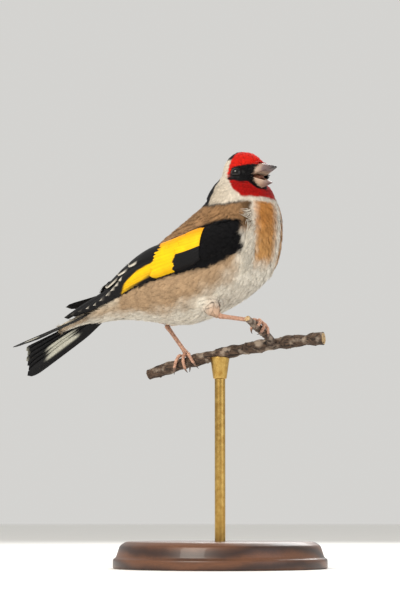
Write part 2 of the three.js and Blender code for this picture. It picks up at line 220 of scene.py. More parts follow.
def mend(mesh: bpy.types.Mesh) -> None:
    """Merges doubled points and turns the faces outwards."""
    shell = bmesh.new()
    shell.from_mesh(mesh)
    bmesh.ops.remove_doubles(shell, verts=shell.verts, dist=MERGE)
    bmesh.ops.recalc_face_normals(shell, faces=shell.faces)
    shell.to_mesh(mesh)
    shell.free()


def shade_smooth(mesh: bpy.types.Mesh) -> None:
    """Shades every face smooth."""
    mesh.polygons.foreach_set("use_smooth", np.ones(len(mesh.polygons), bool))


def add_numbers(mesh: bpy.types.Mesh, name: str, values: Array) -> None:
    """Gives each point of a mesh one number, as a named attribute."""
    layer = mesh.attributes.new(name, "FLOAT", "POINT")
    layer.data.foreach_set("value", values.astype(np.float32))


def settle(thing: bpy.types.Object) -> bpy.types.Object:
    """Turns what an object's modifiers make into its own plain mesh."""
    graph = bpy.context.evaluated_depsgraph_get()
    made = bpy.data.meshes.new_from_object(thing.evaluated_get(graph))
    thing.modifiers.clear()
    thing.data = made
    made.name = thing.name
    return thing


def make_mesh(
    name: str,
    points: Array,
    faces: Array,
    finish: bpy.types.Material,
    colours: Array | None = None,
    maps: dict[str, Array] | None = None,
    tidy: bool = False,
    normals: Array | None = None,
) -> bpy.types.Object:
    """Makes one object at the origin from arrays.

    Args:
        name: The piece's name.
        points: Places in millimetres, one row each.
        faces: Corner numbers, all triangles or all quads.
        finish: The material.
        colours: A linear colour for each point, kept as the attribute "plumage".
        maps: UV maps by name, one pair for each point.
        tidy: Whether doubles are merged and normals turned outwards.
        normals: The way each point is shaded, where that isn't the faces' own.

    Returns:
        The object, shaded smooth.
    """
    mesh = bpy.data.meshes.new(name)
    faces = np.asarray(faces, np.int32)
    sides = faces.shape[1]
    mesh.vertices.add(len(points))
    mesh.vertices.foreach_set("co", (np.asarray(points, float) * MM).ravel())
    mesh.loops.add(faces.size)
    mesh.loops.foreach_set("vertex_index", faces.ravel())
    mesh.polygons.add(len(faces))
    mesh.polygons.foreach_set("loop_start", np.arange(len(faces), dtype=np.int32) * sides)
    mesh.update(calc_edges=True)
    mesh.validate()
    if colours is not None:
        layer = mesh.color_attributes.new("plumage", "FLOAT_COLOR", "POINT")
        layer.data.foreach_set("color", np.c_[colours, np.ones(len(colours))].astype(np.float32).ravel())
    for map_name, pairs in (maps or {}).items():
        layer = mesh.uv_layers.new(name=map_name)
        layer.data.foreach_set("uv", pairs[faces.ravel()].astype(np.float32).ravel())
    if tidy:
        mend(mesh)
    mesh.materials.append(finish)
    shade_smooth(mesh)
    if normals is not None:
        mesh.normals_split_custom_set_from_vertices(normals.tolist())
    return new_object(name, mesh)


def tube(
    centres: Array, radii: Array, sides: int = 16, squash: float = 1.0, ends: float = 0.6
) -> tuple[Array, Array]:
    """A round skin along a path, closed by domed ends.

    Args:
        centres: The path's places.
        radii: The radius at each place.
        sides: Points round each ring.
        squash: How thick it is upwards against its width.
        ends: How far each end bulges, in radii.

    Returns:
        Points and quads.
    """
    way = unit(np.gradient(centres, axis=0))
    flat = unit(np.cross(np.tile([0.02, 0.05, 1.0], (len(way), 1)), way))
    high = np.cross(way, flat)
    lean = np.radians([90, 60, 30])
    rise, shrink = np.sin(lean)[:, None], np.cos(lean)
    before = centres[0] - way[0] * radii[0] * ends * rise
    after = centres[-1] + way[-1] * radii[-1] * ends * rise[::-1]
    c = np.vstack([before, centres, after])
    r = np.r_[radii[0] * shrink, radii, radii[-1] * shrink[::-1]]
    pick = np.r_[[0] * 3, np.arange(len(centres)), [len(centres) - 1] * 3]
    angle = np.linspace(0, 2 * np.pi, sides, endpoint=False)
    wide = flat[pick][:, None] * np.cos(angle)[None, :, None]
    tall = high[pick][:, None] * (np.sin(angle) * squash)[None, :, None]
    points = c[:, None] + (wide + tall) * r[:, None, None]
    return points.reshape(-1, 3), sheet_faces(len(c), sides, closed=True)


def joined(parts: list[tuple[Array, Array]]) -> tuple[Array, Array]:
    """Several sets of points and faces as one."""
    points, faces, start = [], [], 0
    for p, f in parts:
        points.append(p)
        faces.append(f + start)
        start += len(p)
    return np.vstack(points), np.vstack(faces)


# Node trees


def add_node(tree: Any, kind: str, settings: dict[str, Any] | None = None, **links: Any) -> Any:
    """Adds one node.

    Args:
        tree: The node tree.
        kind: The node's type.
        settings: Properties of the node by name.
        **links: For each input, named with _ for a space or i0, i1 by place, a value or a socket.

    Returns:
        The node.
    """
    node = tree.nodes.new(kind)
    for key, value in (settings or {}).items():
        setattr(node, key, value)
    for key, value in links.items():
        by_place = key[0] == "i" and key[1:].isdigit()
        socket = node.inputs[int(key[1:])] if by_place else node.inputs[key.replace("_", " ")]
        if isinstance(value, bpy.types.NodeSocket):
            tree.links.new(value, socket)
        else:
            socket.default_value = value
    return node


def rgba(code: str) -> tuple[float, ...]:
    """An sRGB hex colour as a linear socket value."""
    return (*linear(code), 1.0)


@dataclass(frozen=True)
class Finish:
    """What every finish has: its name and the values of its shader.

    Attributes:
        name: The material's name.
        roughness: From 0, glossy, to 1, dull.
        ior: The index of refraction of the real stuff.
        metallic: 1 for bare metal.
        sheen: The soft edge light of down and fluff.
        coat: A clear film over it.
    """

    name: str
    roughness: float = 0.6
    ior: float = 1.45
    metallic: float = 0.0
    sheen: float = 0.0
    coat: float = 0.0

    def start(self) -> tuple[bpy.types.Material, Any, Any, Any]:
        """Makes the material with its constants set.

        Returns:
            The material, its tree, its shader node and the socket of places on the object.
        """
        material = bpy.data.materials.new(self.name)
        material.use_nodes = True
        tree = material.node_tree
        shader = tree.nodes["Principled BSDF"]
        values = {"Roughness": self.roughness, "Metallic": self.metallic}
        values |= {"Sheen Weight": self.sheen, "Coat Weight": self.coat}
        if not self.metallic:
            values["IOR"] = self.ior
        for name, value in values.items():
            shader.inputs[name].default_value = value
        return material, tree, shader, add_node(tree, "ShaderNodeTexCoord").outputs["Object"]

    def make(self) -> bpy.types.Material:
        """Builds the material; each finish does it in its own way."""
        raise NotImplementedError

    def paint(self, tree: Any, shader: Any, colour: Any, light: Any) -> None:
        """Colours the surface by a colour socket, made lighter or darker by a number socket."""
        node = add_node(tree, "ShaderNodeVectorMath", {"operation": "SCALE"}, i0=colour, Scale=light)
        tree.links.new(node.outputs[0], shader.inputs["Base Color"])

    def bump(self, tree: Any, shader: Any, height: Any, depth: float, strength: float = 0.5) -> None:
        """Raises the surface by a height socket, at a real depth in millimetres."""
        node = add_node(tree, "ShaderNodeBump", Height=height, Distance=depth * MM, Strength=strength)
        tree.links.new(node.outputs["Normal"], shader.inputs["Normal"])


@dataclass(frozen=True)
class Plumage(Finish):
    """Keratin barbs. They scatter light softly, so the eye sees fine streaks along each vane, not a gloss.

    Attributes:
        streak: How many barbs show across a vane, drawn coarser than real ones so that they show.
        depth: How much lighter and darker the barbs are.
        gloss: How strongly the surface mirrors, as a share of plain keratin's.
    """

    streak: float = 9.0
    depth: float = 0.17
    gloss: float = 0.3

    def make(self) -> bpy.types.Material:
        """Builds the material, coloured by the mesh's own markings."""
        material, tree, shader, place_of = self.start()
        shader.inputs["Specular IOR Level"].default_value = self.gloss / 2
        colour = add_node(tree, "ShaderNodeAttribute", {"attribute_name": "plumage"}).outputs["Color"]
        vane = add_node(tree, "ShaderNodeUVMap", {"uv_map": "vane"}).outputs["UV"]
        lean = add_node(tree, "ShaderNodeMapping", Vector=vane, Scale=(self.streak, 1.6, 1.0))
        streaks = add_node(
            tree, "ShaderNodeTexNoise", Vector=lean.outputs[0], Scale=1.0, Detail=3.0, Distortion=0.3
        )
        patches = add_node(tree, "ShaderNodeTexNoise", Vector=place_of, Scale=1 / (4.0 * MM), Detail=2.0)
        both = add_node(
            tree, "ShaderNodeMath", {"operation": "MULTIPLY"}, i0=streaks.outputs[0], i1=patches.outputs[0]
        )
        light = add_node(
            tree, "ShaderNodeMapRange", Value=both.outputs[0], From_Min=0.1, From_Max=0.42,
            To_Min=1 - self.depth, To_Max=1 + self.depth,
        )
        self.paint(tree, shader, colour, light.outputs[0])
        self.bump(tree, shader, streaks.outputs[0], 0.08)
        return material


@dataclass(frozen=True)
class Down(Finish):
    """The close down under the vanes: matt, with the same markings, so that no bare skin shows."""

    def make(self) -> bpy.types.Material:
        """Builds the material."""
        material, tree, shader, place_of = self.start()
        colour = add_node(tree, "ShaderNodeAttribute", {"attribute_name": "plumage"}).outputs["Color"]
        fluff = add_node(tree, "ShaderNodeTexNoise", Vector=place_of, Scale=1 / (0.5 * MM), Detail=4.0)
        light = add_node(tree, "ShaderNodeMapRange", Value=fluff.outputs[0], To_Min=0.6, To_Max=1.05)
        self.paint(tree, shader, colour, light.outputs[0])
        self.bump(tree, shader, fluff.outputs[0], 0.15, 0.8)
        return material


@dataclass(frozen=True)
class Horn(Finish):
    """Polished keratin of bill and claws: a low satin gloss, pale and slightly see-through at the base,
    darker towards the tip, with growth lines that run along it.

    Attributes:
        base: Colour at the root.
        middle: Colour half-way.
        tip: Colour of the point.
        grain: Spacing of the growth lines in millimetres.
        see_through: How much light passes into it.
    """

    base: str = "#B89F8A"
    middle: str = "#6C5756"
    tip: str = "#1E1A1C"
    grain: float = 0.5
    see_through: float = 0.1

    def make(self) -> bpy.types.Material:
        """Builds the material, which reads how far along the horn a place is from its own attribute."""
        material, tree, shader, place_of = self.start()
        along = add_node(tree, "ShaderNodeAttribute", {"attribute_name": "along"}).outputs["Fac"]
        fine = 1 / (self.grain * MM)
        lines = add_node(
            tree, "ShaderNodeTexNoise", Vector=place_of, Scale=fine, Detail=3.0, Distortion=0.6
        )
        stain = add_node(tree, "ShaderNodeTexNoise", Vector=place_of, Scale=1 / (3.0 * MM), Detail=2.0)
        drift = add_node(tree, "ShaderNodeMapRange", Value=stain.outputs[0], To_Min=-0.12, To_Max=0.12)
        moved = add_node(tree, "ShaderNodeMath", {"operation": "ADD"}, i0=along, i1=drift.outputs[0])
        shade = add_node(tree, "ShaderNodeValToRGB", Fac=moved.outputs[0])
        stops = shade.color_ramp.elements
        stops[0].position, stops[0].color = 0.42, rgba(self.base)
        stops[1].position, stops[1].color = 0.94, rgba(self.tip)
        middle = stops.new(0.64)
        middle.color = rgba(self.middle)
        tree.links.new(shade.outputs[0], shader.inputs["Base Color"])
        shader.inputs["Subsurface Weight"].default_value = self.see_through
        shader.inputs["Subsurface Radius"].default_value = (0.8 * MM, 0.4 * MM, 0.3 * MM)
        shader.inputs["Subsurface Scale"].default_value = 1.0
        rough = add_node(tree, "ShaderNodeMapRange", Value=lines.outputs[0], To_Min=0.48, To_Max=0.66)
        tree.links.new(rough.outputs[0], shader.inputs["Roughness"])
        self.bump(tree, shader, lines.outputs[0], 0.05, 0.35)
        return material


@dataclass(frozen=True)
class Speckled(Finish):
    """A surface of two colours broken up at a real size, for eye, leg, lids, mouth and metal.

    Attributes:
        light: The paler colour.
        dark: The darker colour.
        size: Of the patches, in millimetres.
        relief: Depth of the bumps in millimetres.
    """

    light: str = "#888888"
    dark: str = "#444444"
    size: float = 1.0
    relief: float = 0.05

    def make(self) -> bpy.types.Material:
        """Builds the material."""
        material, tree, shader, place_of = self.start()
        fine = 1 / (self.size * MM)
        patches = add_node(tree, "ShaderNodeTexNoise", Vector=place_of, Scale=fine, Detail=4.0)
        shade = add_node(tree, "ShaderNodeValToRGB", Fac=patches.outputs[0])
        stops = shade.color_ramp.elements
        stops[0].position, stops[0].color = 0.35, rgba(self.dark)
        stops[1].position, stops[1].color = 0.65, rgba(self.light)
        tree.links.new(shade.outputs[0], shader.inputs["Base Color"])
        low, high = self.roughness * 0.8, min(1.0, self.roughness * 1.25)
        rough = add_node(tree, "ShaderNodeMapRange", Value=patches.outputs[0], To_Min=low, To_Max=high)
        tree.links.new(rough.outputs[0], shader.inputs["Roughness"])
        if self.relief:
            self.bump(tree, shader, patches.outputs[0], self.relief)
        return material


@dataclass(frozen=True)
class Bark(Finish):
    """Dry weathered bark: dull and rough, long fibres and cracks that run with the branch, grey over brown.

    Attributes:
        ridge: The dark of the cracks.
        face: The main brown.
        bloom: The pale grey of weathered patches.
        crack: Spacing of the cracks in millimetres.
    """

    ridge: str = "#1E1713"
    face: str = "#5C493B"
    bloom: str = "#9A8B7C"
    crack: float = 0.7

    def make(self) -> bpy.types.Material:
        """Builds the material; the pattern is stretched along X, the way the branch runs."""
        material, tree, shader, place_of = self.start()
        run = add_node(tree, "ShaderNodeMapping", Vector=place_of, Rotation=(0, 0.2, 0.4), Scale=(0.22, 1, 1))
        fine = 1 / (self.crack * MM)
        cracks = add_node(
            tree, "ShaderNodeTexNoise", Vector=run.outputs[0], Scale=fine, Detail=5.0, Distortion=0.8
        )
        blooms = add_node(tree, "ShaderNodeTexNoise", Vector=place_of, Scale=1 / (3.2 * MM), Detail=4.0)
        wood = add_node(tree, "ShaderNodeValToRGB", Fac=cracks.outputs[0])
        stops = wood.color_ramp.elements
        stops[0].position, stops[0].color = 0.36, rgba(self.ridge)
        stops[1].position, stops[1].color = 0.62, rgba(self.face)
        share = add_node(tree, "ShaderNodeMapRange", Value=blooms.outputs[0], From_Min=0.5, From_Max=0.68)
        both = add_node(
            tree, "ShaderNodeMix", {"data_type": "RGBA"}, i0=share.outputs[0], i6=wood.outputs[0],
            i7=rgba(self.bloom),
        )
        tree.links.new(both.outputs[2], shader.inputs["Base Color"])
        self.bump(tree, shader, cracks.outputs[0], 0.35, 0.9)
        return material


@dataclass(frozen=True)
class TurnedWood(Finish):
    """Oiled walnut: brown with darker growth rings seen as long streaks, a satin film over open pores.

    Attributes:
        early: The lighter wood of a ring.
        late: The dark line that ends a ring.
        ring: Spacing of the rings in millimetres.
        pore: Width of the pores in millimetres.
    """

    early: str = "#6B4228"
    late: str = "#33190C"
    ring: float = 3.0
    pore: float = 0.35

    def make(self) -> bpy.types.Material:
        """Builds the material, with rings about a log that lies under the base."""
        material, tree, shader, place_of = self.start()
        log_place = add_node(
            tree, "ShaderNodeMapping", Vector=place_of, Location=(0, 0.02, 0.06), Rotation=(0, 0, 0.3)
        )
        rings = add_node(
            tree, "ShaderNodeTexWave", {"wave_type": "RINGS", "rings_direction": "X"},
            Vector=log_place.outputs[0], Scale=1 / (self.ring * MM * 6.28), Distortion=2.5, Detail=3.0,
            Detail_Scale=1.2,
        )
        pores_at = add_node(
            tree, "ShaderNodeMapping", Vector=place_of, Scale=(0.06, 1, 1), Rotation=(0, 0, 0.3)
        )
        fine = 1 / (self.pore * MM)
        pores = add_node(tree, "ShaderNodeTexNoise", Vector=pores_at.outputs[0], Scale=fine, Detail=3.0)
        shade = add_node(
            tree, "ShaderNodeMix", {"data_type": "RGBA"}, i0=rings.outputs["Fac"], i6=rgba(self.early),
            i7=rgba(self.late),
        )
        dark = add_node(tree, "ShaderNodeMapRange", Value=pores.outputs[0], To_Min=0.55, To_Max=1.25)
        self.paint(tree, shader, shade.outputs[2], dark.outputs[0])
        self.bump(tree, shader, pores.outputs[0], 0.04, 0.4)
        return material


def ready(finish: Finish) -> Any:
    """A field that holds a finish's material, made with the object that has the field."""
    return field(default_factory=finish.make)


@dataclass
class Finishes:
    """Every material of the model, made once."""

    plumage: bpy.types.Material = ready(
        Plumage("feather_vanes", roughness=0.8, ior=1.54, sheen=0.04, gloss=0.2)
    )
    quill: bpy.types.Material = ready(
        Plumage("flight_feathers", roughness=0.55, ior=1.54, streak=26, depth=0.12, gloss=0.35)
    )
    down: bpy.types.Material = ready(Down("close_down", roughness=0.95, ior=1.54))
    horn: bpy.types.Material = ready(Horn("bill_horn", ior=1.54, coat=0.1))
    claw: bpy.types.Material = ready(
        Horn("claw_horn", ior=1.54, base="#7A5F50", middle="#4E3C34", tip="#231A18", see_through=0.02)
    )
    mouth: bpy.types.Material = ready(
        Speckled("mouth_lining", roughness=0.4, ior=1.38, light="#8A5A44", dark="#4E2C22", size=0.8)
    )
    cornea: bpy.types.Material = ready(
        Speckled(
            "wet_eye", roughness=0.12, ior=1.376, coat=0.1, light="#0C0705", dark="#030202", size=1.2,
            relief=0,
        )
    )
    lid: bpy.types.Material = ready(
        Speckled("bare_eyelid", roughness=0.85, ior=1.35, light="#151213", dark="#070606", size=0.3)
    )
    leg: bpy.types.Material = ready(
        Speckled("leg_scales", roughness=0.5, ior=1.5, light="#C99D84", dark="#99705C", size=0.7, relief=0.04)
    )
    bark: bpy.types.Material = ready(Bark("weathered_bark", roughness=0.92, ior=1.5))
    cut: bpy.types.Material = ready(
        Speckled("cut_sapwood", roughness=0.85, light="#C9AF85", dark="#9A7B52", size=0.5)
    )
    walnut: bpy.types.Material = ready(TurnedWood("turned_walnut", roughness=0.42, ior=1.5, coat=0.15))
    brass: bpy.types.Material = ready(
        Speckled(
            "satin_brass", roughness=0.3, metallic=1.0, light="#C2A15C", dark="#A98444", size=2.0,
            relief=0.005,
        )
    )
    floor: bpy.types.Material = ready(
        Speckled("studio_paper", roughness=0.9, light="#F2F1EE", dark="#EFEEEB", size=40.0, relief=0)
    )


# Body shape and markings


# The CAD nodes that one skin replaces, and each leg's joints in the bird frame.
FLESH = ("head", "neck", "trunk", "rump", "thigh_right", "thigh_left", "wing_right", "wing_left")
HIPS = {Side.RIGHT: (4, -8, 99), Side.LEFT: (-11, 6, 98)}
HEELS = {Side.RIGHT: (10.6, -9.6, 92.7), Side.LEFT: (-19.2, 5.5, 91.6)}
FEET = {Side.RIGHT: (24.1, -4.6, 90.6), Side.LEFT: (-10.6, 5.8, 80.3)}


def along_thigh(
    side: Side, places: Array, ends: tuple[float, float] = (-np.inf, np.inf)
) -> tuple[Array, Array]:
    """Reads places in the bird frame against the line from hip to heel.

    Args:
        side: Which thigh.
        places: Points, one row each.
        ends: The shares of the line that it is held between.

    Returns:
        The share along the line, 0 at the hip and 1 at the heel, and the distance from it.
    """
    hip = np.array(HIPS[side])
    shin = np.array(HEELS[side]) - hip
    t = np.clip((places - hip) @ shin / (shin @ shin), *ends)
    return t, np.linalg.norm(places - hip - t[:, None] * shin, axis=-1)


@dataclass
class Trunk:
    """The trunk's own measure: how far along it a place is, and how far up from the belly line.

    Attributes:
        back: The back's profile in the bird frame, from the tail to the nape, as (x, z).
        belly: The belly's profile, matching the back's row for row.
        steps: How many places along the trunk the profiles are kept at.
    """

    back: tuple = (
        (-60, 92.8), (-50, 98.2), (-39, 106.6), (-28, 114.6), (-18, 122), (-8, 129), (0, 134.5), (4.5, 139),
        (7, 142.5), (8.5, 145.5), (9.6, 148.6),
    )
    belly: tuple = (
        (-59, 90.2), (-49, 93.4), (-37, 94.2), (-22, 92.6), (-7, 90.8), (8, 95.6), (20.2, 102.6), (27.6, 111),
        (30.2, 122), (30, 132.5), (26.6, 140.6),
    )
    steps: int = 61

    def __post_init__(self) -> None:
        """Works out the dense profiles."""
        self.top = through(self.back, self.steps)
        self.low = through(self.belly, self.steps)
        self.middle = (self.top + self.low) / 2
        self.way = unit(-np.gradient(self.middle, axis=0))

    def measure(self, places: Array) -> tuple[Array, Array]:
        """Reads places in the bird frame.

        Args:
            places: Points, one row each.

        Returns:
            The share along the trunk, 0 at the tail, and the share up from belly to back.
        """
        along = np.empty(len(places))
        up = np.empty(len(places))
        rise = self.top - self.low
        length = np.maximum((rise**2).sum(-1), 1e-6)
        for start in range(0, len(places), 20000):
            q = places[start : start + 20000][:, [0, 2]]
            d = q[:, None] - self.low[None]
            f = (d * rise).sum(-1) / length
            held = np.clip(f, -0.1, 1.1)
            gap = np.linalg.norm(d - held[..., None] * rise, axis=-1)
            best = gap.argmin(1)
            along[start : start + 20000] = best / (self.steps - 1)
            up[start : start + 20000] = f[np.arange(len(q)), best]
        return along, up

    def backwards(self, along: Array) -> Array:
        """The way the coat lies at a share along the trunk, towards the tail, in the bird frame."""
        way = self.way[np.clip((along * (self.steps - 1)).astype(int), 0, self.steps - 1)]
        return np.c_[way[:, 0], np.zeros(len(way)), way[:, 1]]


@dataclass
class Wing:
    """A folded wing, measured by x along the bird and t from its upper edge, 0, to its lower one, 1.

    Attributes:
        side: Which wing it is.
        panel: The yellow panel's outline in x and t.
        rows: How many places along the wing the edges are kept at.
    """

    side: Side
    panel: tuple = (
        (9.2, 0.08), (7.4, 0.49), (3.4, 0.51), (-0.4, 0.58), (-3, 0.83), (-18, 0.93), (-29.5, 1.0),
        (-27, 0.82), (-21, 0.69), (-12.5, 0.64), (-9.4, 0.33), (-8.4, 0.1), (1.65, 0.06),
    )
    rows: int = 240

    def __post_init__(self) -> None:
        """Works out the table of edges, from the tip forwards, in the bird frame of a right wing.

        Each row has the upper edge, the lower edge and the half-thickness.
        """
        arm = [
            (23.4, -13.6, 126.6, 22.4, -14.6, 119.6, 2.6), (19, -15.4, 127.4, 17.6, -16.4, 115.6, 4),
            (9.6, -15.8, 125.8, 7.5, -17.2, 111.6, 4.6), (-6, -14, 121.2, -6.5, -16.4, 108.4, 4.7),
            (-18, -10.2, 118.6, -18, -14.4, 105.6, 4.2), (-30.5, -5.4, 113.2, -30, -11.4, 102.6, 2.9),
        ]
        near = [
            (-38, -5.3, 107.8, -38, -9.9, 100.2, 1.4), (-45, -5.2, 103.6, -45, -8.6, 98, 0.8),
            (-51, -5.8, 99.8, -51, -8, 96.6, 0.6), (-57, -6.6, 96, -57, -7.4, 94.8, 0.42),
        ]
        far = [
            (-38, -3.9, 108.8, -38, -8.6, 101.8, 1.4), (-45, -1.6, 106.6, -46, -6.6, 101, 0.8),
            (-53, -0.6, 103.6, -53, -4, 99.6, 0.6), (-60.5, 0.6, 100.8, -60.5, -0.6, 99.8, 0.42),
        ]
        self.table = through(arm + (near if self.side is Side.RIGHT else far), self.rows)[::-1]
        self.stretch = (self.table[0, 0] + 30) / (-57 + 30)

    def edge(self, x: Array) -> tuple[Array, Array, Array, Array]:
        """Upper edge, lower edge, half-thickness and outward way at places along the wing."""
        row = np.stack([np.interp(x, self.table[:, 0], self.table[:, i]) for i in range(7)], -1)
        upper, lower = row[..., 0:3], row[..., 3:6]
        return upper, lower, row[..., 6], unit(np.cross([1.0, 0, 0], upper - lower))

    def bulge(self, thick: Array, t: Array) -> Array:
        """How far the outer face stands out between its edges."""
        return thick * np.sqrt(np.clip(1 - (2 * t - 1) ** 2, 0, 1))

    def surface(self, x: Array, t: Array, lift: Array) -> Array:
        """Places over the wing's outer face, in the part's frame.

        Args:
            x: Along the bird.
            t: Down from the upper edge.
            lift: Over the face, in millimetres.

        Returns:
            Points.
        """
        upper, lower, thick, out = self.edge(x)
        beyond = np.clip(np.abs(2 * t - 1) - 1, 0, 1)
        over = self.bulge(thick, t) + lift - beyond * 2
        places = upper + (lower - upper) * t[..., None] + out * over[..., None]
        if self.side is Side.LEFT:
            places = places * [1, -1, 1]
        return place(BIRD, places)

    def height(self, x: Array) -> Array:
        """The wing's depth from edge to edge, in millimetres."""
        upper, lower, _, _ = self.edge(x)
        return np.linalg.norm(upper - lower, axis=-1)

    def measure(self, places: Array) -> tuple[Array, Array, Array]:
        """Reads places in the bird frame as x, t and height over the wing's outer face."""
        p = places if self.side is Side.RIGHT else places * [1, -1, 1]
        upper, lower, thick, out = self.edge(p[:, 0])
        across = lower - upper
        t = ((p - upper) * across).sum(-1) / (across**2).sum(-1)
        over = ((p - upper - across * t[:, None]) * out).sum(-1) - self.bulge(thick, t)
        return p[:, 0], t, over

    def in_panel(self, x: Array, t: Array) -> Array:
        """A signed measure that is positive inside the yellow panel, in millimetres."""
        outline = np.array(self.panel) * [1, 12]
        p = np.stack([np.asarray(x, float), np.asarray(t, float) * 12], -1)
        inside = np.zeros(p.shape[:-1], bool)
        nearest = np.full(p.shape[:-1], 1e9)
        for a, b in zip(outline, np.roll(outline, -1, axis=0)):
            edge = b - a
            share = np.clip(((p - a) @ edge) / (edge @ edge), 0, 1)
            nearest = np.minimum(nearest, np.linalg.norm(p - a - share[..., None] * edge, axis=-1))
            crosses = (a[1] > p[..., 1]) != (b[1] > p[..., 1])
            at = a[0] + (p[..., 1] - a[1]) * edge[0] / (edge[1] if edge[1] else 1e-9)
            inside ^= crosses & (p[..., 0] < at)
        return np.where(inside, nearest, -nearest)

    def colour(self, x: Array, t: Array) -> Array:
        """The wing's markings at x and t."""
        black = np.broadcast_to(Markings.black, (*np.shape(x), 3))
        share = ramp(self.in_panel(x, t), -0.25, 0.25)
        orange = ramp(t, 0.42, 0.1) * ramp(x, -14, -6)
        yellow = mix(Markings.yellow, Markings.orange, orange * 0.8)
        return mix(black, yellow, share)


class Markings:
    """The bird's colours by place, shared by its skin and its coat."""

    red = linear("#9E0B06")
    bright_red = linear("#C21809")
    black = linear("#08080B")
    nape = linear("#20222A")
    cheek = linear("#C8BFB0")
    cheek_buff = linear("#A89A86")
    white = linear("#D6D0C3")
    mantle = linear("#A07C58")
    mantle_dark = linear("#7C5E40")
    flank = linear("#A78C6E")
    ochre = linear("#B98546")
    ochre_deep = linear("#AE7026")
    yellow = linear("#F5C000")
    orange = linear("#EE9C00")
    rump = linear("#C9C0AE")
    thigh = linear("#B6957C")
    # The tail's white spots and pale tips, dimmed from white to grey: painted shade over the white feathers.
    tail_spot = linear("#C4C3B4")

    def __init__(self, trunk: Trunk, wings: dict[Side, Wing]) -> None:
        """Keeps the shapes that the markings follow."""
        self.trunk = trunk
        self.wings = wings

    def head(self, places: Array) -> Array:
        """The face, cap, cheek and nape, for places in the head frame."""
        x, y, z = places.T
        waver = wobble(places, 5)
        side = np.abs(y)
        colour = np.broadcast_to(self.cheek, places.shape)
        around = np.degrees(np.arctan2(side, -(x + 1.7))) + 5 * waver
        buff = ramp(z, -1, -8) * ramp(around, 150, 80)
        colour = mix(colour, self.cheek_buff, buff * 0.6)
        crescent = 91 - 24 * ramp(z, -2.2, -0.2) - 8 * ramp(z, -0.2, 3)
        cap = np.maximum(
            ramp(z - 0.4 * waver, 5.0, 6.2) * ramp(x, 3.2, 2.2), ramp(around, crescent + 4, crescent - 3)
        )
        colour = mix(colour, self.nape * 0.4, cap)
        colour = mix(colour, self.cheek_buff, ramp(around, 26, 16) * ramp(z, 1, -3) * 0.7)
        edge = x - 2 - np.maximum(0, 0.3 - z) + 0.35 * waver
        red = ramp(edge, -0.3, 0.3) * ramp(z + 0.3 * waver, -9.6, -9.0)
        colour = mix(colour, mix(self.red, self.bright_red, ramp(z, -6, 3)), red)
        reach = np.clip((x - 3) / 5.5, 0, 1)
        top = 2.2 + 0.9 * reach + 0.15 * waver
        low = -2.2 - 1.4 * reach - 2.6 * ramp(side, 5, 2) * ramp(x, 5, 8) + 0.2 * waver
        middle = np.maximum(ramp(side, 1.0, 2.0), ramp(z, -0.5, -1.5))
        behind = 2.9 + 1.1 * ramp(z, 0, -2)
        lore = ramp(x - behind, 0, 0.6) * ramp(z, top + 0.3, top - 0.3) * ramp(z, low - 0.35, low + 0.35)
        return mix(colour, self.black, lore * middle)

    def body(self, places: Array) -> Array:
        """Mantle, flank, breast, belly and rump, for places in the bird frame."""
        x, y, z = places.T
        _, up = self.trunk.measure(places)
        waver = wobble(places, 9)
        turned = np.degrees(np.arctan2(np.abs(y - 1.2), x - 17)) + 3 * wobble(places, 4)
        colour = np.broadcast_to(self.flank, places.shape)
        front = ramp(turned, 84, 66) * ramp(z, 96, 104)
        colour = mix(colour, self.white, front)
        patch = ramp(turned, -2, 24) * ramp(turned, 62, 44) * ramp(z + 1.5 * waver, 108, 118)
        colour = mix(colour, mix(self.ochre, self.ochre_deep, ramp(z, 118, 130)), patch * 0.95)
        belly = ramp(up + 0.05 * waver, 0.26, 0.06) * ramp(z, 117, 109)
        colour = mix(colour, self.white, belly)
        brown = mix(self.mantle_dark, self.mantle, 0.5 + 0.4 * wobble(places, 6))
        shoulder = ramp(turned, 58, 64) * ramp(z, 122, 126)
        back = ramp(up + 0.04 * waver, 0.56, 0.66) * ramp(turned, 56, 64)
        colour = mix(colour, brown, np.maximum(back, shoulder))
        corner = ramp(turned, 57, 61) * ramp(turned, 76, 66) * ramp(z, 124, 127)
        colour = mix(colour, self.mantle_dark * 0.25, corner * 0.8)
        rump = ramp(x + 2 * waver, -27, -33)
        colour = mix(colour, self.rump, rump * ramp(up, 0.1, 0.5))
        for side in Side:
            t, far = along_thigh(side, places)
            colour = mix(colour, self.thigh, ramp(far, 6.5, 3) * ramp(t, 0.2, 0.8) * 0.9)
        return colour

    def at(self, places: Array) -> Array:
        """The colour of places in the part's frame.

        Args:
            places: Points in millimetres, one row each.

        Returns:
            Linear colours, one row each.
        """
        bird = unplace(BIRD, places)
        head = unplace(HEAD, places)
        side = np.abs(bird[:, 1])
        nape = ramp(bird[:, 0], 9, 3) * ramp(side, 6, 3)
        bow = ramp(bird[:, 0], 4, 10) * ramp(bird[:, 0], 22, 16)
        border = 134.5 + 0.4 * ramp(bird[:, 0], 20, 26) - 0.8 * bow + 4 * nape + 0.25 * wobble(places, 3)
        above = bird[:, 2] - border
        colour = mix(self.body(bird), self.head(head), ramp(above, -0.35, 0.35))
        line = ramp(np.abs(above), 0.7, 0.2) * ramp(bird[:, 0], 23, 20) * ramp(side, 3, 5)
        colour = mix(colour, self.nape * 0.5, line * 0.8)
        for wing in self.wings.values():
            x, t, over = wing.measure(bird)
            outer = bird[:, 1] * wing.side.value > 4
            on = ramp(over, -4.2, -3.4) * ramp(t, -0.08, 0.0) * ramp(t, 1.1, 1.02)
            on = on * ramp(x, 23.2, 22.4) * ramp(x, -48, -44) * outer
            colour = mix(colour, wing.colour(x, t), on)
        return colour


# Skin


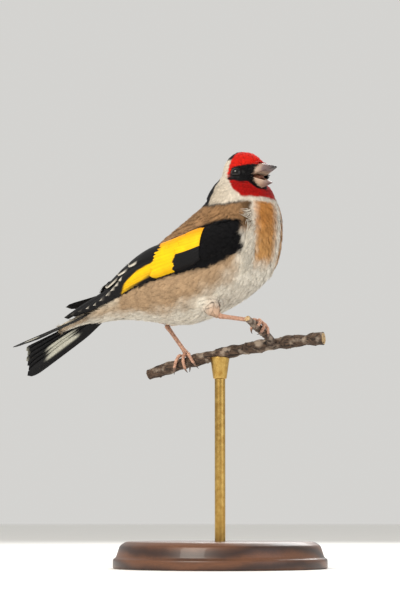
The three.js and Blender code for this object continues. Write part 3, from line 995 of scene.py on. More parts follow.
@dataclass
class Eye:
    """One eye: a wet dark ball, and the bare lid round its opening.

    Attributes:
        side: Which eye.
        radius: Of the ball.
        centre: In the head frame, on the left side.
        opening: Radius of the lids' opening.
    """

    side: Side
    radius: float = 2.15
    centre: tuple = (5.2, 6.1, 0.1)
    opening: float = 1.98

    def middle(self) -> Array:
        """The ball's centre in the part's frame."""
        x, y, z = self.centre
        return place(HEAD, np.array([x, y * self.side.value, z]))

    def outward(self) -> Array:
        """The way the eye looks, in the part's frame."""
        return unit(HEAD[:3, :3] @ np.array([0.4, 0.92 * self.side.value, 0.06]))

    def build(self, finishes: Finishes) -> list[bpy.types.Object]:
        """Makes the ball and its lid."""
        word = self.side.word
        rows, columns = 33, 48
        lat = np.linspace(-np.pi / 2, np.pi / 2, rows)
        ball = np.stack([np.zeros(rows), np.zeros(rows), np.sin(lat) * self.radius], -1)
        turn_by = np.linspace(0, 2 * np.pi, columns, endpoint=False)
        ring = np.stack([np.cos(turn_by), np.sin(turn_by), np.zeros(columns)], -1)
        points = ball[:, None] + ring[None] * (np.cos(lat) * self.radius)[:, None, None] + self.middle()
        faces = sheet_faces(rows, columns, True)
        eye = make_mesh(f"eyeball_{word}", points.reshape(-1, 3), faces, finishes.cornea, tidy=True)
        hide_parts(f"eye_{word}")
        out = self.outward()
        flat = unit(np.cross([0, 0, 1.0], out))
        high = np.cross(out, flat)
        plane = np.sqrt(self.radius**2 - self.opening**2)
        centre = self.middle() + out * plane
        steps, sides = 60, 10
        angle = np.linspace(0, 2 * np.pi, steps, endpoint=False)
        lid_round = np.linspace(0, 2 * np.pi, sides, endpoint=False)
        radial = flat[None] * np.cos(angle)[:, None] * 0.95 + high[None] * np.sin(angle)[:, None]
        thick = 0.19 + 0.04 * np.sin(angle * 15) * np.abs(np.sin(angle))
        rim = self.opening + 0.13
        lids = centre + radial[:, None] * (rim + thick[:, None] * np.cos(lid_round))[..., None]
        lids = lids + out * (thick[:, None] * np.sin(lid_round) * 0.9 - 0.02)[..., None]
        faces = sheet_faces(steps + 1, sides, True) % (steps * sides)
        lid = make_mesh(f"eyelid_{word}", lids.reshape(-1, 3), faces, finishes.lid, tidy=True)
        return [eye, lid]


@dataclass
class Skin:
    """One closed skin in place of the flesh nodes, inside them by the coat's depth.

    Attributes:
        voxel: Size of the remesh.
        swell: How much each node grows first, so that the gaps between them close.
    """

    trunk: Trunk
    markings: Markings
    eyes: list[Eye]
    voxel: float = 0.6
    swell: float = 0.2

    def depth(self, places: Array) -> Array:
        """How deep the coat is over places in the part's frame, in millimetres."""
        bird = unplace(BIRD, places)
        deep = 1.15 - 0.65 * ramp(bird[:, 2], 134, 141)
        deep = deep - 0.8 * ramp(bird[:, 0], -34, -46)
        for wing in self.markings.wings.values():
            x, t, over = wing.measure(bird)
            near = ramp(over, -4.6, -3.6) * (bird[:, 1] * wing.side.value > 6)
            near = near * ramp(t, -0.2, 0.0) * ramp(x, 24, 22.5)
            deep = mix_number(deep, 0.55, near * ramp(t, 1.3, 1.0))
        for side in Side:
            t, far = along_thigh(side, bird, (0, 1.1))
            deep = mix_number(deep, 0.3, ramp(far, 4.5, 3) * ramp(t, 0.2, 0.5))
        return deep

    def build(self, finishes: Finishes) -> bpy.types.Object:
        """Joins, remeshes, smooths and shrinks the flesh, then marks and unwraps it."""
        flesh = bmesh.new()
        for node in FLESH:
            part = bmesh.new()
            part.from_mesh(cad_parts[node].data)
            bmesh.ops.remove_doubles(part, verts=part.verts, dist=1e-6)
            bmesh.ops.recalc_face_normals(part, faces=part.faces)
            part.normal_update()
            for vertex in part.verts:
                vertex.co += vertex.normal * self.swell * MM
            copy = bpy.data.meshes.new("flesh_copy")
            part.to_mesh(copy)
            part.free()
            flesh.from_mesh(copy)
            bpy.data.meshes.remove(copy)
        for eye in self.eyes:
            made = bmesh.ops.create_icosphere(flesh, subdivisions=3, radius=eye.radius * MM)
            bmesh.ops.translate(flesh, verts=made["verts"], vec=eye.middle() * MM)
        mesh = bpy.data.meshes.new("flesh")
        flesh.to_mesh(mesh)
        flesh.free()
        rough = new_object("flesh", mesh)
        remesh = rough.modifiers.new("remesh", "REMESH")
        remesh.mode = "VOXEL"
        remesh.voxel_size = self.voxel * MM
        smooth = rough.modifiers.new("smooth", "SMOOTH")
        smooth.factor, smooth.iterations = 0.5, 8
        whole = settle(rough).data
        bpy.data.objects.remove(rough)
        count = len(whole.vertices)
        points, normals = np.empty(count * 3), np.empty(count * 3)
        whole.vertices.foreach_get("co", points)
        whole.vertex_normals.foreach_get("vector", normals)
        points, normals = points.reshape(-1, 3) / MM, normals.reshape(-1, 3)
        faces = np.array([tuple(face.vertices) for face in whole.polygons if len(face.vertices) == 4])
        bpy.data.meshes.remove(whole)
        self.points = points - normals * (self.depth(points) + self.swell)[:, None]
        self.faces = faces
        skin = make_mesh("body_skin", self.points, faces, finishes.down, self.markings.at(self.points))
        self.unwrap_loops(skin)
        self.tree = BVHTree.FromPolygons(self.points.tolist(), faces.tolist())
        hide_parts(*FLESH)
        return skin

    def unwrap(self, places: Array) -> Array:
        """Where places fall on the flat of the skin: length along the body, and the turn about its axis."""
        bird = unplace(BIRD, places)
        head = unplace(HEAD, places)
        along, _ = self.trunk.measure(bird)
        middle = self.trunk.middle[(along * (self.trunk.steps - 1)).astype(int)]
        tilt = np.arctan2(bird[:, 1], (bird[:, 2] - middle[:, 1]) - 0.4 * (bird[:, 0] - middle[:, 0]))
        body = np.c_[0.02 + 0.72 * along, 0.5 + tilt / (2 * np.pi) * 0.94]
        around = np.arctan2(head[:, 1], head[:, 2])
        face = np.c_[0.87 + np.clip(head[:, 0] / 100, -0.09, 0.12), 0.5 + around / (2 * np.pi) * 0.94]
        return np.where((bird[:, 2] > 139.5)[:, None], face, body)

    def unwrap_loops(self, skin: bpy.types.Object) -> None:
        """Writes the bake map, and keeps faces at the flat's edges from stretching across it."""
        flat = self.unwrap(self.points)[self.faces]
        wide = np.ptp(flat, axis=1).max(-1) > 0.05
        flat[wide] = flat[wide][:, :1] + (flat[wide] - flat[wide][:, :1]) * 0.0005
        layer = skin.data.uv_layers.new(name="OFBake")
        layer.data.foreach_set("uv", flat.reshape(-1, 2).astype(np.float32).ravel())

    def lie(self, places: Array) -> Array:
        """The way the coat lies at places in the part's frame."""
        bird = unplace(BIRD, places)
        along, _ = self.trunk.measure(bird)
        body = self.trunk.backwards(along)
        body[:, 1] -= np.clip(bird[:, 1] / 60, -0.2, 0.2) * ramp(bird[:, 0], 0, 20) * 0.5
        body = unit(body) @ BIRD[:3, :3].T
        bill_tip = place(HEAD, np.array([20.0, 0, -2]))
        face = unit(places - bill_tip)
        way = mix(body, face, ramp(bird[:, 2], 137, 144))
        for side in Side:
            t, far = along_thigh(side, bird)
            down = BIRD[:3, :3] @ unit(np.array(HEELS[side]) - HIPS[side])
            way = mix(way, down, ramp(far, 6.5, 3) * ramp(t, 0.3, 1.0))
        for wing in self.markings.wings.values():
            x, t, over = wing.measure(bird)
            on = ramp(over, -4.4, -3.4) * (bird[:, 1] * wing.side.value > 6) * ramp(t, 1.2, 1.0)
            on = on * ramp(t, -0.2, 0.0) * ramp(x, 24, 22.5)
            step = wing.surface(x - 1, t, np.zeros(len(x))) - wing.surface(x, t, np.zeros(len(x)))
            way = mix(way, unit(step), on)
        return unit(way)


# Coat


@dataclass
class Vane:
    """The small feather that the coat repeats: a cupped leaf with loose barbs round its outer half.

    Attributes:
        stations: Shares of the length with rows of points.
        widths: Share of the full width at each station.
        cup: How far the edges droop, in half-widths.
        barbs: For each loose barb its share along, its place across and its length as a share of the vane's.
    """

    stations: tuple = (0.0, 0.3, 0.58, 0.82, 1.0)
    widths: tuple = (0.4, 0.9, 1.0, 0.72, 0.2)
    cup: float = 0.12
    barbs: tuple = (
        (0.45, -0.9, 0.22), (0.45, 0.9, 0.22), (0.62, -0.88, 0.25), (0.62, 0.88, 0.25), (0.76, -0.75, 0.26),
        (0.76, 0.75, 0.26), (0.87, -0.55, 0.26), (0.87, 0.55, 0.26), (0.95, -0.25, 0.24), (0.95, 0.25, 0.24),
        (0.99, 0.0, 0.22),
    )

    def faces(self) -> Array:
        """Triangles of one vane."""
        quads = sheet_faces(len(self.stations), 3)
        leaf = np.vstack([quads[:, [0, 2, 1]], quads[:, [0, 3, 2]]])
        first = len(self.stations) * 3
        loose = np.arange(len(self.barbs) * 3).reshape(-1, 3) + first
        return np.vstack([leaf, loose[:, ::-1]])

    def count(self) -> int:
        """Points of one vane."""
        return len(self.stations) * 3 + len(self.barbs) * 3


@dataclass
class Coat:
    """The contour feathers over the skin, as joined meshes of small vanes.

    Attributes:
        spacing: Between roots on the body and on the head.
        levels: Heights in the bird frame where head, neck and back end.
        rump_from: Where the flank ends and the rump begins, along the bird.
        rooted: How high a vane's root is over the skin.
    """

    skin: Skin
    markings: Markings
    eyes: list[Eye]
    vane: Vane = field(default_factory=Vane)
    spacing: tuple = (1.18, 0.66)
    levels: tuple = (139, 126, 112)
    rump_from: float = -8
    rooted: float = 0.12

    def roots(self, random: np.random.Generator) -> tuple[Array, Array]:
        """Places on the skin, evenly strewn, denser on the head.

        Args:
            random: The seeded source.

        Returns:
            Places and outward normals.
        """
        quads = self.skin.points[self.skin.faces]
        corners = np.vstack([quads[:, [0, 1, 2]], quads[:, [0, 2, 3]]])
        normal = np.cross(corners[:, 1] - corners[:, 0], corners[:, 2] - corners[:, 0])
        area = np.linalg.norm(normal, axis=-1) / 2
        high = unplace(BIRD, corners.mean(1))[:, 2]
        step = mix_number(self.spacing[0], self.spacing[1], ramp(high, 133, 141))
        wanted = area / step**2 * 7
        count = int(wanted.sum())
        pick = random.choice(len(corners), count, p=wanted / wanted.sum())
        a, b = random.random((2, count, 1))
        flip = a + b > 1
        a, b = np.where(flip, 1 - a, a), np.where(flip, 1 - b, b)
        tri = corners[pick]
        places = tri[:, 0] + (tri[:, 1] - tri[:, 0]) * a + (tri[:, 2] - tri[:, 0]) * b
        cell = np.floor(places / step[pick][:, None] * 0.86)
        cell[:, 0] += np.where(step[pick] < 1, 5000, 0)
        _, first = np.unique(cell, axis=0, return_index=True)
        first = np.sort(first)
        return places[first], unit(normal[pick][first])

    def keep(self, places: Array, way: Array, length: Array) -> Array:
        """Leaves out roots under the eyes, the bill and the long feathers of the wings."""
        bird = unplace(BIRD, places)
        head = unplace(HEAD, places)
        keep = np.ones(len(places), bool)
        for eye in self.eyes:
            for share in (0.0, 0.5, 1.0):
                gap = places + way * (length * share)[:, None] - eye.middle()
                out = eye.outward()
                off = np.linalg.norm(gap - (gap @ out)[:, None] * out, axis=-1)
                keep &= (off > eye.opening + (0.34 if share else 0.2)) | (gap @ out < 0)
        mouth = (head[:, 0] > 8.2) & (np.hypot(head[:, 1] / 3.5, (head[:, 2] + 0.9) / 4.0) < 1)
        keep &= ~mouth
        for wing in self.markings.wings.values():
            x, t, over = wing.measure(bird)
            on = (over > -3.6) & (t > 0.08) & (t < 0.96) & (bird[:, 1] * wing.side.value > 3)
            keep &= ~(on & (x < 1.5))
        return keep

    def sizes(self, places: Array) -> tuple[Array, Array, Array]:
        """Length, half-width and tip height of the vanes rooted at places."""
        bird = unplace(BIRD, places)
        head = unplace(HEAD, places)
        near_bill = ramp(head[:, 0], 0, 9)
        on_head = ramp(bird[:, 2], 134, 141)
        length = mix_number(5.2, 2.1, on_head) - 0.9 * near_bill * on_head
        width = mix_number(1.25, 0.62, on_head) - 0.2 * near_bill * on_head
        deep = self.skin.depth(places)
        wing_like = np.clip((0.9 - deep) / 0.35, 0, 1) * (1 - on_head)
        length = mix_number(length, 3.4, wing_like)
        width = mix_number(width, 1.1, wing_like)
        under = ramp(bird[:, 0], -26, -36)
        length = mix_number(length, 7.5, under)
        for side in Side:
            t, far = along_thigh(side, bird)
            on = ramp(far, 6, 3.4) * ramp(t, 0.2, 0.9)
            length = mix_number(length, 2.2, on)
            width = mix_number(width, 0.7, on)
        return length, width, deep

    def build(self, finishes: Finishes) -> list[bpy.types.Object]:
        """Strews the vanes, bends each to the skin, colours it and joins them region by region."""
        random = np.random.default_rng(SEED)
        places, normals = self.roots(random)
        way = self.skin.lie(places)
        way = unit(way - (way * normals).sum(-1, keepdims=True) * normals)
        length, width, deep = self.sizes(places)
        kept = self.keep(places, way, length)
        places, normals, way = places[kept], normals[kept], way[kept]
        length, width, deep = length[kept], width[kept], deep[kept]
        count = len(places)
        length = length * random.uniform(0.85, 1.18, count)
        stray = random.normal(0, 0.1, (count, 1))
        way = unit(way + np.cross(normals, way) * stray)
        rise = deep * random.uniform(0.82, 1.1, count)
        points, vane_map, shading = self.vanes(places, way, length, width, rise, random)
        per = self.vane.count()
        flat = np.repeat(self.skin.unwrap(places), per, axis=0)
        flat = flat + (vane_map - 0.5) * 0.003
        colours = self.colours(places, points.reshape(count, per, 3), vane_map.reshape(count, per, 2), random)
        x, _, z = unplace(BIRD, places).T
        head, neck, back = self.levels
        pieces = []
        regions = {
            "coat_head": z > head,
            "coat_neck": (z <= head) & (z > neck),
            "coat_back": (z <= neck) & (z > back),
            "coat_flank": (z <= back) & (x > self.rump_from),
            "coat_rump": (z <= back) & (x <= self.rump_from),
        }
        for name, chosen in regions.items():
            rows = np.flatnonzero(chosen)
            index = (rows[:, None] * per + np.arange(per)).ravel()
            faces = many(self.vane.faces(), len(rows), per)
            maps = {"OFBake": flat[index], "vane": vane_map[index]}
            piece = make_mesh(
                name, points[index], faces, finishes.plumage, colours[index], maps, normals=shading[index]
            )
            log.info("%s: %d vanes, %d triangles", name, len(rows), len(faces))
            pieces.append(piece)
        return pieces

    def vanes(
        self, places: Array, way: Array, length: Array, width: Array, rise: Array, random: np.random.Generator
    ) -> tuple[Array, Array, Array]:
        """The points of every vane, laid on the skin, and where each lies on its own vane.

        Args:
            places: Roots.
            way: The way each points.
            length: Of each.
            width: Half of each one's.
            rise: Of each tip over the skin.
            random: The seeded source.

        Returns:
            Points, pairs and shading normals, one row for each point of each vane.
        """
        stations = np.array(self.vane.stations)
        rows, ups = [], []
        for share in stations:
            guesses = places + way * (length * share)[:, None]
            found = [self.skin.tree.find_nearest(guess) for guess in guesses.tolist()]
            on = np.array([f[0] for f in found])
            up = np.array([f[1] for f in found])
            rows.append(on + up * (self.rooted + (rise - self.rooted) * share**0.75)[:, None])
            ups.append(up)
        spine, up = np.stack(rows, 1), np.stack(ups, 1)
        along = unit(np.gradient(spine, axis=1))
        across = unit(np.cross(up, along))
        half = width[:, None] * np.array(self.vane.widths)
        column = np.array([-1.0, 0.0, 1.0])
        leaf = spine[:, :, None] + across[:, :, None] * (half[..., None] * column)[..., None]
        leaf = leaf - up[:, :, None] * (half[..., None] * np.abs(column) * self.vane.cup)[..., None]
        leaf_map = np.stack(np.broadcast_arrays(0.5 + column[None] / 2.6, stations[:, None] * 0.85), -1)
        barbs, barb_maps = [], []
        for share, side, reach in self.vane.barbs:
            i = min(int(np.searchsorted(stations, share, "right")) - 1, len(stations) - 2)
            t = (share - stations[i]) / (stations[i + 1] - stations[i])
            spot = spine[:, i] * (1 - t) + spine[:, i + 1] * t
            wide = (half[:, i] * (1 - t) + half[:, i + 1] * t)[:, None]
            a, s, u = along[:, i + 1], across[:, i + 1], up[:, i + 1]
            root = spot + s * wide * side * 0.85 - u * wide * abs(side) * self.vane.cup * 0.8
            spread = 0.42 * side + random.normal(0, 0.14, (len(places), 1))
            reach_by = (length * reach * random.uniform(0.7, 1.4, len(places)))[:, None]
            tip = root + unit(a + s * spread) * reach_by - u * 0.05
            base = s * (0.13 * width[:, None])
            barbs.append(np.stack([root - base - a * 0.1, root + base - a * 0.1, tip], 1))
            pair = np.array([[0.5 + side / 2.6, share * 0.85], [0.55 + side / 2.6, share * 0.85]])
            end = np.array([[0.5 + side / 2.2, min(1.0, share * 0.85 + 0.15)]])
            barb_maps.append(np.vstack([pair, end]))
        points = np.concatenate([leaf.reshape(len(places), -1, 3), *barbs], 1)
        one = np.vstack([leaf_map.reshape(-1, 2), *barb_maps])
        aside = across[:, :, None] * (column * 0.3)[None, None, :, None]
        bow = up[:, :, None] + aside - along[:, :, None] * 0.06
        loose = [np.repeat(up[:, -1:] + along[:, -1:] * 0.05, 3, axis=1)] * len(barbs)
        normals = unit(np.concatenate([bow.reshape(len(places), -1, 3), *loose], 1))
        return points.reshape(-1, 3), np.tile(np.clip(one, 0, 1), (len(places), 1)), normals.reshape(-1, 3)

    def colours(self, places: Array, points: Array, pairs: Array, random: np.random.Generator) -> Array:
        """Each vane's colour: the markings near its root, sharper on the head, with its own small change."""
        bird = unplace(BIRD, places)
        sharp = mix_number(0.5, 0.85, ramp(bird[:, 2], 118, 130))[:, None, None]
        where = places[:, None] * (1 - sharp) + points * sharp
        colour = self.markings.at(where.reshape(-1, 3)).reshape(points.shape)
        own = random.normal(1, mix_number(0.04, 0.09, ramp(bird[:, 2], 134, 141)))[:, None, None]
        root_shade = 0.86 + 0.18 * pairs[..., 1:2]
        return (colour * own * root_shade).reshape(-1, 3)


# Long feathers


@dataclass
class Blades:
    """Long feathers, gathered as thin cambered blades with a shaft, then joined into one mesh.

    Attributes:
        rows: Points along each blade.
        columns: Points across each blade.
        thick: Thickness of the vane.
    """

    rows: int = 26
    columns: int = 9
    thick: float = 0.14
    points: list = field(default_factory=list)
    colour: list = field(default_factory=list)
    pairs: list = field(default_factory=list)

    def outline(self, share: Array, root: float, tip: float) -> Array:
        """Half-width along a blade as a share of its full one: narrow root, long sides, rounded tip."""
        open_up = root + (1 - root) * ramp(share, 0, 0.35)
        return open_up * np.sqrt(np.clip(1 - np.clip((share - (1 - tip)) / tip, 0, 1) ** 2.2, 0.0, 1))

    def add(self, points: Array, colour: Array) -> None:
        """Takes one blade's grid of points and colours."""
        across = np.linspace(0, 1, self.columns)[None, :]
        along = np.linspace(0, 1, self.rows)[:, None]
        self.points.append(points.reshape(-1, 3))
        self.colour.append(colour.reshape(-1, 3))
        self.pairs.append(np.stack(np.broadcast_arrays(across, along), -1).reshape(-1, 2))

    def build(self, name: str, finish: bpy.types.Material) -> bpy.types.Object:
        """Joins the blades, gives each a real thickness and its own cell of the bake map."""
        count = len(self.points)
        side = int(np.ceil(np.sqrt(count)))
        cells = [
            (np.array([i % side, i // side]) + 0.06 + pair * 0.88) / side for i, pair in enumerate(self.pairs)
        ]
        faces = many(sheet_faces(self.rows, self.columns), count, self.rows * self.columns)
        maps = {"OFBake": np.vstack(cells), "vane": np.vstack(self.pairs)}
        sheet = make_mesh(name, np.vstack(self.points), faces, finish, np.vstack(self.colour), maps)
        solid = sheet.modifiers.new("vane_thickness", "SOLIDIFY")
        solid.thickness = self.thick * MM
        solid.offset = -1
        return settle(sheet)


@dataclass
class WingFeathers:
    """The flight feathers and great coverts of one folded wing.

    Attributes:
        tips: Where the quills end, as x and t, from the longest to the innermost.
        tertials: The same for the three broad feathers on top.
    """

    wing: Wing
    tips: tuple = (
        (-57.4, 0.5), (-54, 0.82), (-50.4, 0.88), (-46.8, 0.9), (-43.2, 0.92), (-40, 0.88), (-37, 0.84),
        (-34.8, 0.79), (-32.8, 0.74), (-31, 0.64),
    )
    tertials: tuple = ((-38.5, 0.3), (-33, 0.26), (-27, 0.24))
    coverts: int = 10

    def blade(
        self, blades: Blades, start: tuple, end: tuple, half: float, lift: tuple, kind: str, order: float
    ) -> None:
        """Lays one blade on the wing.

        Args:
            blades: What it is added to.
            start: Its root, as x and t.
            end: Its tip, as x and t.
            half: Half-width in millimetres.
            lift: Height over the wing's face at root and tip.
            kind: "quill", "tertial" or "covert", which sets its markings.
            order: A number of its own, for the small differences between feathers.
        """
        wing = self.wing
        share = np.linspace(0, 1, blades.rows)
        across = np.linspace(-1, 1, blades.columns)
        x = start[0] + (end[0] - start[0]) * share
        t = start[1] + (end[1] - start[1]) * ramp(share, -0.35, 1.0)
        width = half * blades.outline(share, 0.55, 0.2 if kind != "covert" else 0.45)
        height = np.maximum(wing.height(x), 1.2)
        grid_x = np.broadcast_to(x[:, None], (blades.rows, blades.columns))
        grid_t = t[:, None] + across[None] * (width / height)[:, None]
        slack = 0.35 / height[:, None]
        grid_t = np.clip(grid_t, -slack, 1 + slack)
        over = np.interp(share, [0, 1], lift)[:, None] - 0.16 * (across[None] ** 2)
        over = over + 0.05 * np.exp(-((across[None] / 0.12) ** 2))
        points = wing.surface(grid_x, grid_t, over)
        colour = wing.colour(grid_x, grid_t)
        if kind == "covert":
            inside = ramp(wing.in_panel(np.array([end[0] + 3]), np.array([end[1]])), -1.2, -0.4)[0]
            yellow = mix(Markings.yellow, Markings.orange, ramp(grid_t, 0.45, 0.1) * 0.9)
            colour = mix(colour, yellow, np.full(grid_t.shape, inside))
        else:
            left = grid_x - end[0]
            if kind == "tertial":
                pale = ramp(left, 0.9, 0.4) + ramp(left, 6, 5) * ramp(across[None], 0.5, 0.75) * 0.9
            else:
                spot = ramp(np.abs(across[None]), 0.75, 0.35) * ramp(left, 1.5, 0.9)
                pale = spot * (0.15 if end[0] < -50 else 1.0)
            colour = mix(colour, Markings.white, np.clip(pale, 0, 1))
        edge = 1 - 0.12 * np.abs(across[None]) - 0.03 * np.sin(order * 2.4)
        blades.add(points, colour * edge[..., None])

    def build(self, finishes: Finishes) -> bpy.types.Object:
        """Lays quills first, then tertials, then coverts, each row over the one before."""
        blades = Blades()
        count = len(self.tips)
        for i, (x, t) in enumerate(self.tips):
            reach = -30 + (x + 30) * (self.wing.stretch if x < -38 else 1)
            low = -0.62 + 0.075 * i
            start = (-5.0, 0.96 - 0.3 * i / count)
            self.blade(blades, start, (reach, t), 1.9, (low, low + 0.05), "quill", i)
        for i, (x, t) in enumerate(self.tertials):
            low = 0.1 + 0.14 * i
            self.blade(blades, (-5.0, 0.42 - 0.06 * i), (x, t), 2.9, (low, low + 0.05), "tertial", 20 + i)
        for i in range(self.coverts):
            t = 0.94 - 0.86 * i / (self.coverts - 1)
            back = -14.5 + 5 * (1 - t) + 0.5 * np.sin(i * 1.9)
            low = 0.2 + 0.035 * i
            start = (6.0, 0.1 + 0.8 * t)
            self.blade(blades, start, (back, min(0.92, t + 0.02)), 1.5, (low - 0.45, low), "covert", 40 + i)
        for i in range(self.coverts):
            t = 0.96 - 0.86 * i / (self.coverts - 1)
            back = -3.5 + 4.5 * (1 - t) + 0.8 * np.sin(i * 2.3)
            low = 0.3 + 0.03 * i
            self.blade(blades, (9.5, 0.1 + 0.8 * t), (back, t), 1.3, (low - 0.5, low), "covert", 60 + i)
        word = self.wing.side.word
        made = blades.build(f"wing_feathers_{word}", finishes.quill)
        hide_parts(f"quills_{word}")
        return made


@dataclass
class TailFeathers:
    """Six long feathers on each side, the middle ones on top, spread like half of a low roof.

    Attributes:
        length: To the tip of the outermost, on the right side and on the left.
        roll: How far each half hangs below the level, in degrees.
        fork: How much shorter the middle ones are.
        reach: Half-width of the half-fan.
        width: Half-width of one feather.
    """

    side: Side
    length: tuple = (38.0, 43.0)
    roll: tuple = (2, 43)
    fork: float = 5.0
    reach: float = 12.0
    width: float = 2.35
    count: int = 6

    def build(self, finishes: Finishes) -> bpy.types.Object:
        """Lays the feathers in the half's own plane."""
        left = self.side is Side.LEFT
        length = self.length[left]
        roll = np.radians(self.roll[left])
        sign = self.side.value
        across_way = np.array([0, np.cos(roll) * sign, -np.sin(roll)])
        up_way = np.array([0, np.sin(roll) * sign, np.cos(roll)])
        blades = Blades(rows=36, columns=11)
        share = np.linspace(0, 1, blades.rows)
        cross = np.linspace(-1, 1, blades.columns)
        for i in range(self.count):
            far = i / (self.count - 1)
            run = length - self.fork * (1 - far) - 0.4 * np.sin(i * 2.1)
            centre = 1.2 + far * 1.2 + (self.reach * 0.76 * far + 0.9) * share**0.9
            half = self.width * blades.outline(share, 0.5, 0.16)
            x = -1.5 - (run - 1.5) * share
            lift = 0.42 - 0.17 * i
            offset = centre[:, None] + half[:, None] * cross[None]
            offset = np.maximum(offset, 0.36)
            sag = lift - 0.25 * cross[None] ** 2 * (half[:, None] / self.width)
            sag = sag + 0.08 * np.exp(-((cross[None] / 0.1) ** 2))
            back = np.array([1.0, 0, 0]) * np.broadcast_to(x[:, None], offset.shape)[..., None]
            points = back + across_way * offset[..., None] + up_way * sag[..., None]
            colour = np.broadcast_to(Markings.black * 1.15, (*offset.shape, 3))
            middle, half_long, half_wide = (0.56, 0.2, 0.85) if left else (0.8, 0.07, 0.3)
            oval = ((share[:, None] - middle) / half_long) ** 2 + ((cross[None] + 0.3) / half_wide) ** 2
            white = ramp(oval, 1.3, 0.6) * float(i in ((3, 4, 5) if left else (5,)))
            white = white * (ramp(cross[None], 0.1, -0.3) if i == 5 else 1.0)
            tip = ramp(share, 0.965, 0.985)[:, None] * float(i < 3) * np.ones_like(cross)[None]
            # White spots and pale tips take the dimmed tail white, whose grey is painted shade.
            colour = mix(colour, Markings.tail_spot, np.maximum(white, tip * 0.8))
            blades.add(place(TAIL, points), colour)
        word = self.side.word
        made = blades.build(f"tail_feathers_{word}", finishes.quill)
        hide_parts(f"tail_{word}")
        return made


@dataclass
class Hairs:
    """Fine feathers that stand out: the white fringe over the wing's front, and the bristles at the bill.

    Attributes:
        fringe: How many strands on each side of the breast.
        bristles: How many small feathers reach over the bill's base.
    """

    skin: Skin
    markings: Markings
    fringe: int = 260
    bristles: int = 130

    def strand(self, blades: Blades, spine: Array, across: Array, half: float, colour: Array) -> None:
        """Adds one strand along its spine, as wide as twice half at its root."""
        taper = np.interp(np.linspace(0, 1, blades.rows), [0, 0.5, 1], [1, 0.8, 0.15]) * half
        column = np.linspace(-1, 1, blades.columns)
        points = spine[:, None] + across * (taper[:, None] * column[None])[..., None]
        blades.add(points, np.broadcast_to(colour, points.shape))

    def over_wing(self, side: Side, random: np.random.Generator) -> Blades:
        """Long white strands from the side of the breast back over the wing's front edge."""
        blades = Blades(rows=7, columns=3, thick=0.05)
        for _ in range(self.fringe):
            angle = np.radians(random.uniform(46, 62))
            height = random.uniform(108, 132)
            reach = random.uniform(3.0, 5.2)
            start = np.array([17 + 15 * np.cos(angle), side.value * 15 * np.sin(angle), height])
            inwards, down = -side.value * 0.1 + random.normal(0, 0.1), -0.42 + random.normal(0, 0.16)
            way = np.array([-0.8, inwards, down])
            rows = []
            for share in np.linspace(0, 1, blades.rows):
                guess = place(BIRD, start + unit(way) * reach * share)
                on, up, _, _ = self.skin.tree.find_nearest(guess.tolist())
                rows.append(np.array(on) + np.array(up) * (0.5 + 1.15 * share**0.8))
            across = unit(np.cross(np.array(up), rows[-1] - rows[0]))
            shade = Markings.white * random.uniform(0.9, 1.15)
            self.strand(blades, np.array(rows), across, 0.08, shade)
        return blades

    def round_bill(self, random: np.random.Generator) -> Blades:
        """Short feathers that point forwards over the bill's base."""
        blades = Blades(rows=6, columns=3, thick=0.05)
        for angle in np.linspace(0, 2 * np.pi, self.bristles, endpoint=False):
            ring = np.array([0, np.cos(angle), np.sin(angle)])
            root = np.array([7.7 + 0.9 * max(0.0, ring[2]), 4.3 * ring[1], -0.9 + 5.2 * ring[2]])
            reach = random.uniform(3.6, 5.0)
            stray = random.normal(0, 0.15, 2)
            tip = root + [reach, -0.5 * ring[1] + stray[0], -0.5 * ring[2] + stray[1]]
            share = np.linspace(0, 1, blades.rows)[:, None]
            spine = root + (tip - root) * share + ring * 0.35 * np.sin(np.pi * share)
            colour = self.markings.head(np.array([[9.0, root[1], root[2]]]))[0]
            across = HEAD[:3, :3] @ unit(np.cross([1.0, 0, 0], ring))
            self.strand(blades, place(HEAD, spine), across, 0.32, colour)
        return blades

    def build(self, finishes: Finishes) -> list[bpy.types.Object]:
        """Makes both fringes and the bristles."""
        random = np.random.default_rng(SEED + 1)
        made = []
        for side in Side:
            piece = self.over_wing(side, random).build(f"breast_fringe_{side.word}", finishes.plumage)
            made.append(piece)
        face = self.round_bill(random).build("bill_bristles", finishes.plumage)
        return [*made, face]


# Bill


